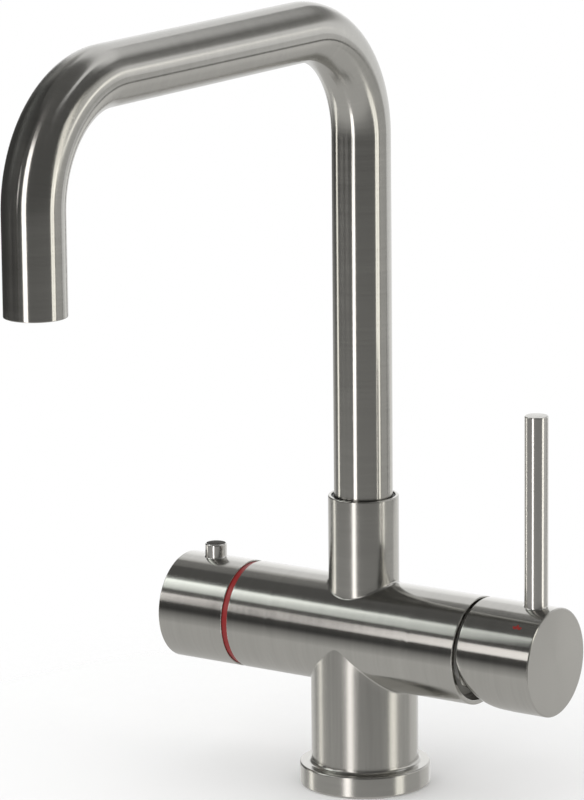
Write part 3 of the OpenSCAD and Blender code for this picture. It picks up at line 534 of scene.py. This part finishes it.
# %% The relief under the handle
HANDLE_X0, HANDLE_X1 = 59.8 * MM, 94.6 * MM
HANDLE_BORE, THINNEST = 15.5 * MM, 0.25 * MM
RELIEF_X, RELIEF_UP, RELIEF_R = 78.6 * MM, 7.0 * MM, 30.0 * MM
SIDE_DEPTH, DEEPER = 2.0 * MM, 7
EASE = 0.35 * MM
OUTSIDE = 20 * MM


def eased(depth):
    """Depth where it is positive and 0 where it isn't, with a soft turn between the two."""
    return EASE * math.log1p(math.exp(min(depth / EASE, 60)))


def relieved(along, radius, angle):
    """The handle's radius after the cut. It gets deeper within 60 degrees of the bottom."""
    if radius < OUTSIDE or along > RELIEF_X:
        return radius
    lift = RELIEF_UP * math.cos(angle)
    ball = lift + math.sqrt(lift ** 2 + RELIEF_R ** 2 - RELIEF_UP ** 2 - (along - RELIEF_X) ** 2)
    deepest = SIDE_DEPTH * (1 + DEEPER * max(0, -math.cos(angle) - 0.5))
    cut = eased(BARREL_R - ball) - eased(BARREL_R - ball - deepest)
    return max(radius - cut, HANDLE_BORE + THINNEST)


inner_edge = relieved(HANDLE_X0, BARREL_R, math.pi)
print("relief under the handle:", round((BARREL_R - inner_edge) / MM, 2), "mm deep")

# %% Turn the handle
STEM_X, STEM_R = 76 * MM, 4 * MM
handle_corners = [
    (80.5 * MM, 0, 0), (80.5 * MM, STEM_R, 0), (STEM_X, STEM_R, 0), (STEM_X, HANDLE_BORE, 0),
    (HANDLE_X0, HANDLE_BORE, 0), (HANDLE_X0, BARREL_R, 0.4 * MM),
    (HANDLE_X1 - 0.35 * MM, BARREL_R, 0.12 * MM), (HANDLE_X1, BARREL_R - 0.5 * MM, 0.12 * MM),
    (HANDLE_X1, 0, 0),
]
plain_profile = soften(handle_corners)
handle_profile = []
for a, b in zip(plain_profile, plain_profile[1:]):
    handle_profile.append(a)
    long_side = abs(b[0] - a[0]) > 5 * MM and min(a[1], b[1]) > OUTSIDE
    end_face = abs(b[1] - a[1]) > 4 * MM and b[0] > 90 * MM
    extra = 60 if long_side else 10 if end_face else 1
    handle_profile += [part_way(a, b, t / extra) for t in range(1, extra)]
handle_profile.append(plain_profile[-1])
handle = turned("mixer_handle", handle_profile, count=256, shape=relieved)
print("handle:", len(handle.data.polygons), "faces")

# %% [markdown]
# ## Pins with a hollow round at the base
# The lever and the knob's stub are plain bars. Each one meets the barrel's curve with a small
# hollow round, as if it had grown out of it. A cylinder pushed into the barrel would meet it in a
# hard line. The rolling ball gives that round again, so no gap shows. The top is slightly domed
# and gets a finish of its own: plain steel on the lever, which was sawn and not turned, and a
# dark steel on the stub, which is a painted dark reflection of its top.

# %% Draw a pin on the barrel's skin
PIN_COUNT, PIN_ROWS, PIN_STEPS = 96, 24, 10
PIN_BALL, SINK = 0.6 * MM, 0.5 * MM
SIDE, TOP = 0, 1


def pin_cap(pin_r, top, edge, dome):
    """The profile of the domed top, from its middle to the bar's side."""
    rim = top - dome
    return soften([
        (top, 0, 0), (top - 0.35 * dome, 0.5 * pin_r, 1.2 * MM), (rim, pin_r, edge),
        (rim - 4 * edge, pin_r, 0),
    ])


def pin(name, x, pin_r, top, edge, dome):
    angles = round_angles(PIN_COUNT)
    corner = [rolled_corner(a, pin_r, PIN_BALL, PIN_STEPS) for a in angles]
    cap = pin_cap(pin_r, top, edge, dome)
    cap_rows = sum(r < pin_r - edge for z, r in cap) + 1
    rows = [[(r * math.cos(a), r * math.sin(a), z) for a in angles] for z, r in cap]
    low = cap[-1][0]
    for t in range(1, PIN_ROWS + 1):
        rows.append([(c[0][0], c[0][1], low + (c[0][2] - low) * t / PIN_ROWS) for c in corner])
    rows += [[c[k] for c in corner] for k in range(1, PIN_STEPS + 1)]
    rows.append([(c[-1][0], c[-1][1], c[-1][2] - SINK) for c in corner])
    rows.append([(0, 0, BARREL_Z + BARREL_R - 2 * SINK)] * PIN_COUNT)
    rows = [[(x + p[0], p[1], p[2]) for p in row] for row in rows]
    draft = Draft()
    # The top rows take their own finish; on the stub it is a dark steel, a painted dark
    # reflection.
    for first, last, finish in ((0, cap_rows, TOP), (cap_rows - 1, len(rows), SIDE)):
        draft.skin(
            rows[first:last],
            lambda i, j: (rows[first + i][0][2] * UV_SCALE, j / PIN_COUNT),
            lambda p: (p[2], p[0] - x, p[1]), finish,
        )
    return draft.build(name)


LEVER_X, LEVER_R, LEVER_TOP = 85.1 * MM, 5 * MM, BARREL_Z + 104.1 * MM
STUB_X, STUB_R, STUB_TOP = -76.1 * MM, 4.7 * MM, BARREL_Z + 29.2 * MM
lever = pin("lever", LEVER_X, LEVER_R, LEVER_TOP, edge=0.4 * MM, dome=0.2 * MM)
stub = pin("stub", STUB_X, STUB_R, STUB_TOP, edge=0.6 * MM, dome=0.5 * MM)
print("lever and stub:", len(lever.data.polygons), len(stub.data.polygons), "faces")

# %% [markdown]
# ## Boiling knob and red ring
# The knob is a second turned cup, closed by a pressed-in cap. The red ring sits in the slot
# between knob and barrel, a little lower than both, so each steel edge beside it catches a line
# of light. A red stripe in the knob's paint would be quicker, but it would have no edges and
# couldn't stay behind when the knob turns.

# %% Turn the knob, its cap and the ring
RING_EDGE, KNOB_X0 = -58.2 * MM, -91.0 * MM
KNOB_BORE, LIP_R = 19.5 * MM, 22.4 * MM
knob_profile = soften([
    (-83.3 * MM, 0, 0), (-83.3 * MM, 8 * MM, 0), (-88.0 * MM, 8 * MM, 0),
    (-88.0 * MM, 20 * MM, 0), (KNOB_X0, 20 * MM, 0.25 * MM), (KNOB_X0, BARREL_R, 0.5 * MM),
    (RING_EDGE, BARREL_R, 0.3 * MM), (RING_EDGE, LIP_R, 0), (-60.4 * MM, LIP_R, 0),
    (-60.4 * MM, KNOB_BORE, 0), (-78.3 * MM, KNOB_BORE, 0), (-78.3 * MM, 0, 0),
])
knob = turned("boiling_knob_shell", knob_profile, count=192)
cap_profile = soften([
    (-88.1 * MM, 0, 0), (-88.1 * MM, 19.95 * MM, 0), (KNOB_X0, 19.95 * MM, 0.3 * MM),
    (KNOB_X0, 17 * MM, 0), (KNOB_X0, 12 * MM, 0), (KNOB_X0, 6 * MM, 0), (KNOB_X0, 0, 0),
])
knob_cap = turned("knob_cap", cap_profile, count=128)
ring_profile = soften([
    (-53.6 * MM, 18.6 * MM, 0), (-53.6 * MM, 20.05 * MM, 0), (-55.55 * MM, 20.05 * MM, 0),
    (-55.55 * MM, 22.3 * MM, 0.15 * MM), (-58.6 * MM, 22.3 * MM, 0.15 * MM),
    (-58.6 * MM, 18.6 * MM, 0), (-53.6 * MM, 18.6 * MM, 0),
])
ring = turned("red_slot_ring", ring_profile, count=192)
print("knob, cap and ring:", [len(o.data.polygons) for o in (knob, knob_cap, ring)])

# %% [markdown]
# ## Temperature marks
# A small red mark is pressed into the handle towards the front, and a blue one towards the back.
# A flat mark would cut into the curve, and a painted one would need an image, so each mark is a
# small patch of the curve itself, a hair proud of the steel. It starts as the outline of a
# triangle, whose lower half is folded up over the rest.

# %% Draw the marks
MARK_SIZE, MARK_OPENING, MARK_SIDE = 2.7 * MM, 0.36, 8
MARK_LOW, MARK_HIGH = BARREL_R - 0.4 * MM, BARREL_R + 0.04 * MM


def mark_outline():
    """Points along the sides of a triangle, each as (up, across) from its middle."""
    corners = [(math.cos(t), math.sin(t)) for t in round_angles(3)]
    return [
        part_way(a, b, (k + 0.5) / MARK_SIDE)
        for a, b in zip(corners, corners[1:] + corners[:1]) for k in range(MARK_SIDE)
    ]


def mark_point(up, across, height, angle):
    """A point of the mark, wrapped round the handle. What lies under its middle is folded up."""
    wrapped = angle - math.copysign(up / BARREL_R, angle)
    return (
        LEVER_X + across, -height * math.sin(wrapped), BARREL_Z + height * math.cos(wrapped),
    )


def temperature_mark(name, angle):
    """A folded triangle with an opening, laid round the handle at an angle from its top."""
    outline = mark_outline()
    outer, inner = MARK_SIZE, MARK_SIZE * MARK_OPENING
    rows = []
    for size, height in (
        (outer, MARK_LOW), (outer, MARK_HIGH), (inner, MARK_HIGH), (inner, MARK_LOW),
        (outer, MARK_LOW),
    ):
        rows.append([mark_point(up * size, side * size, height, angle) for up, side in outline])
    draft = Draft()
    draft.skin(rows, lambda i, j: (i / 4, j / len(outline)), along_x)
    return draft.build(name)


hot = temperature_mark("hot_mark_front", math.radians(44))
cold = temperature_mark("cold_mark_back", math.radians(-44))
print("marks:", hot.name, cold.name)

# %% [markdown]
# ## Spout
# The spout is one tube, bent twice in a machine and then brushed lengthwise. A curve with a round
# bevel would give the shape, but not the grain. Rings along the path carry both: straight runs
# need few rings, the two bends need many.

# %% The tube's centre line
TUBE_R, TUBE_BORE = 12.5 * MM, 11.3 * MM
ARM_Z, REACH, OUTLET_Z = 328 * MM, 227.4 * MM, 241.8 * MM
REAR, FRONT = 48.6 * MM, 46.4 * MM
RISER_Z = 112 * MM
QUARTER = math.pi / 2
BEND_RINGS, ARM_RINGS, DROP_RINGS = 48, 20, 8


def between_ends(low, high, count):
    """The places that cut low to high into count equal parts."""
    return [low + (high - low) * t / count for t in range(1, count)]


def rear_bend(a):
    return -REAR * (1 - math.cos(a)), ARM_Z - REAR + REAR * math.sin(a), a


def front_bend(a):
    return (-REACH + FRONT - FRONT * math.sin(a), ARM_Z - FRONT + FRONT * math.cos(a),
            QUARTER + a)


# Each station is (y, z, heading). The heading turns from up, 0, to down, pi.
bend_angles = [QUARTER * t / BEND_RINGS for t in range(BEND_RINGS + 1)]
stations = [(0, z, 0) for z in (RISER_Z, RISER_Z + 1 * MM)]
stations += [(0, z, 0) for z in between_ends(RISER_Z + 1 * MM, ARM_Z - REAR, ARM_RINGS)]
stations += [rear_bend(a) for a in bend_angles]
stations += [(y, ARM_Z, QUARTER) for y in between_ends(-REAR, FRONT - REACH, ARM_RINGS)]
stations += [front_bend(a) for a in bend_angles]
stations += [(-REACH, z, math.pi) for z in between_ends(ARM_Z - FRONT, OUTLET_Z, DROP_RINGS)]
stations += [(-REACH, OUTLET_Z + up * MM, math.pi) for up in (0.6, 0.3)]
print("stations along the spout:", len(stations))

# %% Bend the spout tube
TUBE_COUNT = 144
LIP, LIP_STEPS = 0.3 * MM, 4
SEAT = OUTLET_Z + 14 * MM


def tube_ring(station, radius):
    y, z, heading = station
    ring = []
    for a in round_angles(TUBE_COUNT):
        side = radius * math.cos(a)
        ring.append((
            radius * math.sin(a), y + side * math.cos(heading), z + side * math.sin(heading)
        ))
    return ring


def outlet_ring(z, radius):
    return tube_ring((-REACH, z, math.pi), radius)


def ring_middle(ring):
    return (Vector(ring[0]) + Vector(ring[TUBE_COUNT // 2])) / 2


rows = [[(0, 0, RISER_Z)] * TUBE_COUNT]
rows += [tube_ring(s, TUBE_R) for s in stations]
for step in range(1, LIP_STEPS + 1):
    a = QUARTER * step / LIP_STEPS
    rows.append(outlet_ring(OUTLET_Z + LIP * (1 - math.sin(a)), TUBE_R - LIP * (1 - math.cos(a))))
rows.append(outlet_ring(OUTLET_Z, TUBE_BORE + 0.2 * MM))
rows.append(outlet_ring(OUTLET_Z + 0.2 * MM, TUBE_BORE))
rows.append(outlet_ring(SEAT, TUBE_BORE))
rows.append([(0, -REACH, SEAT)] * TUBE_COUNT)
run = [0.0]
for a, b in zip(rows, rows[1:]):
    run.append(run[-1] + (ring_middle(a) - ring_middle(b)).length)
spout_draft = Draft()
spout_draft.skin(rows, lambda i, j: (run[i] * UV_SCALE, j / TUBE_COUNT), along_z)

# %% The grain follows the tube round its bends
spout_draft.grains = [
    (run[a], TUBE_R * math.cos(math.tau * b / TUBE_COUNT),
     TUBE_R * math.sin(math.tau * b / TUBE_COUNT))
    for i in range(len(rows) - 1) for j in range(TUBE_COUNT)
    for a, b in ((i, j), (i, j + 1), (i + 1, j + 1), (i + 1, j))
]
spout = spout_draft.build("spout_pipe")
print("spout:", len(rows), "rings,", round(run[-1] / MM), "mm along its middle")

# %% [markdown]
# ## Two small holes
# A grub screw sits under the handle behind a grey plug, and a stop screw at the back of the neck.
# Both are measured pieces already, and the new skins only need holes for them. A hole could be a
# dark disc on the surface, but it would show from the side, so it is cut with a round cutter,
# which is applied at once and taken away.

# %% Cut the screw holes
HOLE_R, CUTTER_DEPTH = 2.52 * MM, 12 * MM


def drill(piece, name, place, towards):
    """Cuts a hole and returns the number of faces that the piece then has."""
    work = bmesh.new()
    turn_to = Vector((0, 0, 1)).rotation_difference(Vector(towards)).to_matrix().to_4x4()
    bmesh.ops.create_cone(
        work, cap_ends=True, segments=48, radius1=HOLE_R, radius2=HOLE_R, depth=CUTTER_DEPTH,
        matrix=Matrix.Translation(place) @ turn_to,
    )
    mesh = bpy.data.meshes.new(name)
    work.to_mesh(mesh)
    work.free()
    cutter = bpy.data.objects.new(name, mesh)
    bpy.context.scene.collection.objects.link(cutter)
    cut = piece.modifiers.new("hole", "BOOLEAN")
    cut.object, cut.operation, cut.solver = cutter, "DIFFERENCE", "EXACT"
    bpy.context.view_layer.update()
    shaped = bpy.data.meshes.new_from_object(
        piece.evaluated_get(bpy.context.evaluated_depsgraph_get())
    )
    piece.modifiers.clear()
    piece.data = shaped
    bpy.data.objects.remove(cutter)
    return len(shaped.polygons)


print("handle:", drill(handle, "cut_a", (78.5 * MM, 0, BARREL_Z - 22 * MM), (0, 0, 1)), "faces")
print("neck:", drill(tap_barrel, "cut_b", (0, 17 * MM, 100 * MM), (0, 1, 0)), "faces")

# %% [markdown]
# ## What the other parts are made of
# Brass and copper are plain metals with faint tool marks. The plastics are moulded, with a fine
# orange-peel skin, and rubber is dull. Each could be one flat colour, but that looks like a toy,
# so each gets its own noise in colour, roughness and bump. Two layers of noise are enough at this
# size.

# %% Materials with a moulded or machined skin
BLOTCHES = 90


def solid_material(name, colour, rough, metal, grain, spread=0.06, relief=0.05,
                   stretch=(1, 1, 1)):
    """grain: specks per metre. stretch below 1 draws them out along an axis, as tool marks."""
    material, tree, shader = fresh_material(name)
    place = add_node(tree, "ShaderNodeTexCoord").outputs["Object"]
    fine = stretched_noise(tree, place, [grain * s for s in stretch], 2.0)
    cloud = stretched_noise(tree, place, (BLOTCHES, BLOTCHES, BLOTCHES), 3.0)
    grainy_colour(tree, shader, cloud, colour, spread)
    tree.links.new(grainy_roughness(tree, fine, rough), shader.inputs["Roughness"])
    grainy_bump(tree, shader, fine, relief)
    shader.inputs["Metallic"].default_value = metal
    return material


METAL, PLASTIC = 1.0, 0.0
# A dark steel for the bores and recesses: painted shade, not the metal's own colour.
bore_shade_steel = solid_material("bore steel painted as shade", (0.17, 0.165, 0.155), 0.45, METAL, 1200)
# A dark steel for the stub's top: a painted dark reflection, not the metal's own colour.
stub_top_dark_paint = solid_material("stub top painted dark", (0.16, 0.157, 0.15), 0.8, METAL, 2000)
dull_steel = solid_material("blasted steel", STEEL, 0.62, METAL, 900)
plain_steel = solid_material("plain steel", STEEL, 0.28, METAL, 900, stretch=(1, 0.1, 1))
print("bare steels:", ", ".join(m.name for m in (bore_shade_steel, stub_top_dark_paint, dull_steel, plain_steel)))

# %% A finish for each material slot
BRASS, COPPER, SPRING = (0.72, 0.53, 0.26), (0.75, 0.42, 0.28), (0.36, 0.36, 0.37)
RUBBER, BLACK, WHITE, GREY = (0.018,) * 3, (0.02, 0.02, 0.021), (0.72, 0.71, 0.68), (0.20,) * 3
RED_RING, RED_MARK, BLUE_MARK = (0.235, 0.014, 0.014), (0.19, 0.018, 0.016), (0.015, 0.09, 0.45)
finishes = {
    "steel_turned": turned_steel,
    "steel_tube": tube_steel,
    "steel_pin": pin_steel_painted_light,
    "steel_plain": plain_steel,
    "spring_steel": solid_material("spring steel", SPRING, 0.32, METAL, 2500),
    "brass": solid_material("brass", BRASS, 0.3, METAL, 1200, stretch=(1, 1, 0.1)),
    "copper": solid_material("copper", COPPER, 0.3, METAL, 900, 0.1, stretch=(1, 1, 0.05)),
    "rubber_black": solid_material("black rubber", RUBBER, 0.65, PLASTIC, 3000),
    "plastic_black": solid_material("black plastic", BLACK, 0.42, PLASTIC, 4000),
    "plastic_white": solid_material("white plastic", WHITE, 0.4, PLASTIC, 3000, 0.03),
    "ceramic": solid_material("ceramic", (0.78, 0.76, 0.70), 0.16, PLASTIC, 2500, 0.02, 0.02),
    "aerator_grey": solid_material("grey plastic", GREY, 0.42, PLASTIC, 3500, 0.05),
    "red_plastic": solid_material("red plastic", RED_RING, 0.3, PLASTIC, 3000, 0.04, 0.03),
    "red_paint": solid_material("red enamel", RED_MARK, 0.25, PLASTIC, 4000, 0.04, 0.03),
    "blue_paint": solid_material("blue enamel", BLUE_MARK, 0.25, PLASTIC, 4000, 0.04, 0.03),
}
print("finishes:", ", ".join(sorted(finishes)))

# %% [markdown]
# ## Dressing the measured model
# Each measured node keeps its shape and gets the finish of its own material slot. The cover ring
# behind the handle is blasted dull, so that nothing glitters in the gap. Nodes that a new piece
# stands for are named, so that they aren't shown twice. Every new piece rides on the body it
# belongs to, and so it moves with the joints. Each piece could have been made with its own
# finish, but one list shows at a glance what stands for what.

# %% Finishes on the measured nodes
def dress(mesh, finish):
    mesh.materials.clear()
    mesh.materials.append(finish)


subparts = frame["record"]["subparts"]
for part in subparts:
    dress(frame["nodes"][part["node"]].data, finishes[part["material_slot"]])
dress(frame["nodes"]["nut_cover"].data, dull_steel)
print("measured nodes with a finish:", len(subparts))

# %% New pieces take their places
new_pieces = [
    (tap_barrel, "tap_body", "body_shell", "steel_turned"),
    (foot, "tap_body", "base_flange", "steel_turned"),
    (ring, "tap_body", "red_ring", "red_plastic"),
    (spout, "spout", "spout_tube", "steel_tube"),
    (handle, "mixer_handle", "handle_shell", "steel_turned"),
    (lever, "mixer_handle", "lever_pin", "steel_pin"),
    (hot, "mixer_handle", "hot_mark", "red_paint"),
    (cold, "mixer_handle", "cold_mark", "blue_paint"),
    (knob, "boiling_knob", "knob_shell", "steel_turned"),
    (stub, "boiling_knob", "stub_pin", "steel_pin"),
    (knob_cap, "boiling_knob", "knob_end_cap", "steel_turned"),
]
for piece, body, node, slot in new_pieces:
    piece.data.materials.append(finishes[slot])
    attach(piece, body)
    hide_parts(node)
foot.data.materials[0] = foot_steel
# Further finishes, in the order of the faces' numbers.
# The bore steel paints shade inside the bores and recesses.
# The stub's top steel paints the dark reflection of its top.
for piece, finish in (
    (tap_barrel, bar_steel), (tap_barrel, bore_shade_steel), (lever, plain_steel), (stub, stub_top_dark_paint),
):
    piece.data.materials.append(finish)
print("new pieces:", len(new_pieces))

# %% [markdown]
# ## Floor and background
# The photograph has a pure white background and no shadow. The floor is a matte white disc that
# fades out, so the tap still stands on something and keeps its shadow close to the foot. The
# world is white to the camera and in reflections, and a little darker for the light it gives. A
# bright world would give the same white, but it would wash the colours out.

# %% The floor that fades out
FLOOR_R, FADE_START, FADE_END = 0.6, 0.05, 0.32
floor_mesh = bpy.data.meshes.new("floor")
work = bmesh.new()
bmesh.ops.create_circle(work, cap_ends=True, segments=96, radius=FLOOR_R)
work.to_mesh(floor_mesh)
work.free()
floor = bpy.data.objects.new("floor", floor_mesh)
floor.location.z = -0.2 * MM
bpy.context.scene.collection.objects.link(floor)
floor_paint, tree, shader = fresh_material("floor paint")
shader.inputs["Base Color"].default_value = (0.95, 0.95, 0.95, 1)
shader.inputs["Roughness"].default_value = 0.9
place = add_node(tree, "ShaderNodeTexCoord").outputs["Object"]
away = add_node(tree, "ShaderNodeVectorMath", {0: place}, operation="LENGTH").outputs["Value"]
fade = add_node(tree, "ShaderNodeMapRange", {
    "Value": away, "From Min": FADE_START, "From Max": FADE_END, "To Min": 1.0, "To Max": 0.0,
}, interpolation_type="SMOOTHSTEP")
clear = add_node(tree, "ShaderNodeBsdfTransparent")
mixed = add_node(tree, "ShaderNodeMixShader", {
    0: fade.outputs[0], 1: clear.outputs[0], 2: shader.outputs[0],
})
tree.links.new(mixed.outputs[0], tree.nodes["Material Output"].inputs[0])
floor_mesh.materials.append(floor_paint)
floor.visible_glossy = False
print("the floor fades out between", FADE_START, "and", FADE_END, "m from the foot")

# %% The world
WORLD_LIGHT = 0.92
world = bpy.data.worlds.new("studio")
bpy.context.scene.world = world
world.use_nodes = True
tree = world.node_tree
tree.nodes.clear()
path = add_node(tree, "ShaderNodeLightPath")
first = add_node(tree, "ShaderNodeMath", {
    0: path.outputs["Is Camera Ray"], 1: path.outputs["Is Glossy Ray"],
}, operation="ADD")
seen = add_node(tree, "ShaderNodeMath", {
    0: first.outputs[0], 1: path.outputs["Is Transmission Ray"],
}, operation="ADD", use_clamp=True)
white = add_node(tree, "ShaderNodeBackground", {"Color": (1, 1, 1, 1), "Strength": 1.0})
plain = add_node(tree, "ShaderNodeBackground", {"Color": (1, 1, 1, 1), "Strength": WORLD_LIGHT})
both = add_node(tree, "ShaderNodeMixShader", {
    0: seen.outputs[0], 1: plain.outputs[0], 2: white.outputs[0],
})
out = add_node(tree, "ShaderNodeOutputWorld")
tree.links.new(both.outputs[0], out.inputs[0])
print("world: white to the eye, light of", WORLD_LIGHT)

# %% [markdown]
# ## Light for brushed steel
# Steel shows its surroundings more than its own colour. The bands in the photograph tell what
# stood round the tap: tall strip lights at the front, right and left, panels at the front left, a
# slanted strip behind on the right, and grey and dark felt between them. The same is set up here.
# An image of a studio would light it too, but its bands could not be moved one by one. The cards
# are seen by reflections only, so that they take no light away from the rest. Two of them are
# small and do one job each: a flag round the outlet darkens the end of the spout, and a thin dark
# strip at the back draws the line along the arm.

# %% Grey cards, seen only in reflections
def card(name, start, end, stops, away=1.5, steps=24):
    """A bent card from one compass angle to another (0 is the front, 90 the right).

    stops: (height, grey) from the bottom up. The grey blends between the stops."""
    work = bmesh.new()
    shade = work.verts.layers.float.new("shade")
    rows = []
    for z, grey in stops:
        row = []
        for k in range(steps + 1):
            a = math.radians(start + (end - start) * k / steps)
            spot = work.verts.new((away * math.sin(a), -away * math.cos(a), z))
            spot[shade] = grey
            row.append(spot)
        rows.append(row)
    for low, high in zip(rows, rows[1:]):
        for k in range(steps):
            work.faces.new((low[k], low[k + 1], high[k + 1], high[k]))
    return finish_card(work, name)


def flat_card(name, height, radius, grey, place=(0, 0)):
    work = bmesh.new()
    shade = work.verts.layers.float.new("shade")
    made = bmesh.ops.create_circle(
        work, cap_ends=True, segments=48, radius=radius,
        matrix=Matrix.Translation((*place, height)),
    )
    for spot in made["verts"]:
        spot[shade] = grey
    return finish_card(work, name)


def finish_card(work, name):
    """Turns the shape into an object that only reflections see."""
    mesh = bpy.data.meshes.new(name)
    work.to_mesh(mesh)
    work.free()
    piece = bpy.data.objects.new(name, mesh)
    bpy.context.scene.collection.objects.link(piece)
    piece.data.materials.append(felt_paint)
    piece.visible_camera = False
    piece.visible_diffuse = False
    piece.visible_shadow = False
    piece.visible_transmission = False
    return piece


FELT = (1.0, 0.99, 0.965, 1)
felt_paint = bpy.data.materials.new("felt")
felt_paint.use_nodes = True
tree = felt_paint.node_tree
tree.nodes.clear()
level = add_node(tree, "ShaderNodeAttribute", attribute_name="shade").outputs["Fac"]
felt = add_node(tree, "ShaderNodeEmission", {"Color": FELT, "Strength": level})
out = add_node(tree, "ShaderNodeOutputMaterial")
tree.links.new(felt.outputs[0], out.inputs[0])
felt_paint.cycles.emission_sampling = "NONE"
print("the felt's tint:", FELT)

# %% The cards round the tap
card("felt_left_front", -102, -10, [
    (-0.6, 0.56), (-0.38, 0.43), (-0.25, 0.33), (-0.13, 0.23), (-0.05, 0.12), (0.04, 0.05),
    (0.3, 0.07), (0.5, 0.15), (0.9, 0.12), (2.6, 0.12),
])
card("felt_right_front", -10, 108, [
    (-0.6, 0.42), (-0.38, 0.34), (-0.25, 0.26), (-0.05, 0.22), (0.04, 0.11), (2.6, 0.13),
])
card("felt_right_back", 108, 146, [(-0.6, 0.5), (-0.25, 0.52), (0.0, 0.47), (0.18, 0.52)])
card("felt_right_high", 108, 137, [
    (0.18, 0.55), (0.35, 0.75), (0.8, 0.65), (1.1, 0.12), (2.6, 0.12),
])
card("felt_left_back", -125, -102, [
    (-0.6, 0.9), (-0.25, 0.72), (-0.13, 0.4), (-0.02, 0.2), (0.3, 0.12), (1.0, 0.12),
])
card("felt_left_high", -123, -102, [(1.0, 0.14), (1.7, 0.30), (2.6, 0.2)])
card("felt_left_corner", -133, -123, [(1.42, 0.85), (1.75, 0.35), (2.6, 0.2)])
card("low_back", 146, 185, [(-0.6, 0.6), (-0.35, 0.85), (-0.1, 1.0)])
card("high_back", 140, 198, [(0.80, 0.6), (0.92, 0.24), (1.5, 0.2)])
card("line_back", 139, 160, [(-0.215, 0.03), (-0.125, 0.03)], away=1.45)
flag = card("flag_round_outlet", -115, -18, [(0.22, 0.06), (0.46, 0.06)], away=0.07, steps=12)
flag.location.y = -0.225
flat_card("card_below", -0.6, 1.5, 0.60)
flat_card("card_above", 2.45, 1.4, 0.13, (-0.2, -0.35))

# %% Strip lights and panels
WHITE_POWER = 4


def soft_box(name, place, width, height, level, aim, tint=(1, 1, 1), roll=0.0):
    """A flat lamp that faces aim. level is how bright it looks, where 1 is white."""
    light = bpy.data.lights.new(name, "AREA")
    light.shape = "RECTANGLE"
    light.size, light.size_y = width, height
    light.energy = WHITE_POWER * width * height * level
    light.color = tint
    lamp = bpy.data.objects.new(name, light)
    ahead = (Vector(aim) - Vector(place)).normalized()
    facing = ahead.to_track_quat("-Z", "Y").to_matrix().to_4x4()
    turn = Matrix.Rotation(math.radians(roll), 4, "Z")
    lamp.matrix_world = Matrix.Translation(place) @ facing @ turn
    lamp.visible_camera = False
    bpy.context.scene.collection.objects.link(lamp)


PINK, STRAW, GREENISH = (1, 0.965, 0.95), (1, 0.975, 0.90), (0.95, 1, 0.965)
soft_box("strip_front", (0.03, -0.95, 0.2), 0.19, 1.5, 2.0, (0.0, 0.0, 0.2), PINK)
soft_box("strip_right_a", (1.4, 0.04, 0.2), 0.15, 1.6, 1.4, (0, 0, 0.2), STRAW)
soft_box("strip_right_b", (1.4, 0.25, 0.2), 0.21, 1.6, 1.25, (0, 0, 0.2), STRAW)
soft_box("strip_left", (-1.0, -0.25, -0.2), 0.15, 0.9, 1.35, (0, 0, -0.2), STRAW)
soft_box("panel_low_right", (-0.45, -1.00, 0.43), 0.30, 0.30, 1.25, (0, 0, 0.08), PINK)
soft_box("panel_low_left", (-0.88, -0.78, 0.42), 0.36, 0.29, 1.35, (0, 0, 0.08), PINK)
soft_box("panel_high_left", (-1.02, -0.48, 0.92), 0.32, 0.42, 1.75, (0, 0, 0.1), GREENISH)
soft_box("panel_high_middle", (-0.84, -0.65, 0.93), 0.20, 0.40, 1.1, (0, 0, 0.1), GREENISH)
soft_box("panel_high_right", (-0.62, -0.78, 0.96), 0.32, 0.46, 0.62, (0, 0, 0.1), GREENISH)
soft_box("strip_slanted", (1.12, 0.56, 0.38), 1.10, 0.13, 0.8, (0, -0.15, 0.3), STRAW, 18.6)
soft_box("panel_back", (-0.75, 1.15, 0.35), 0.8, 0.75, 0.22, (0, 0, 0.1))

# %% [markdown]
# ## Last settings
# The view layer is brought up to date, and the colours are shown through the plain Standard view.

# %% Update and set the view
bpy.context.view_layer.update()


bpy.context.scene.view_settings.view_transform = "Standard"
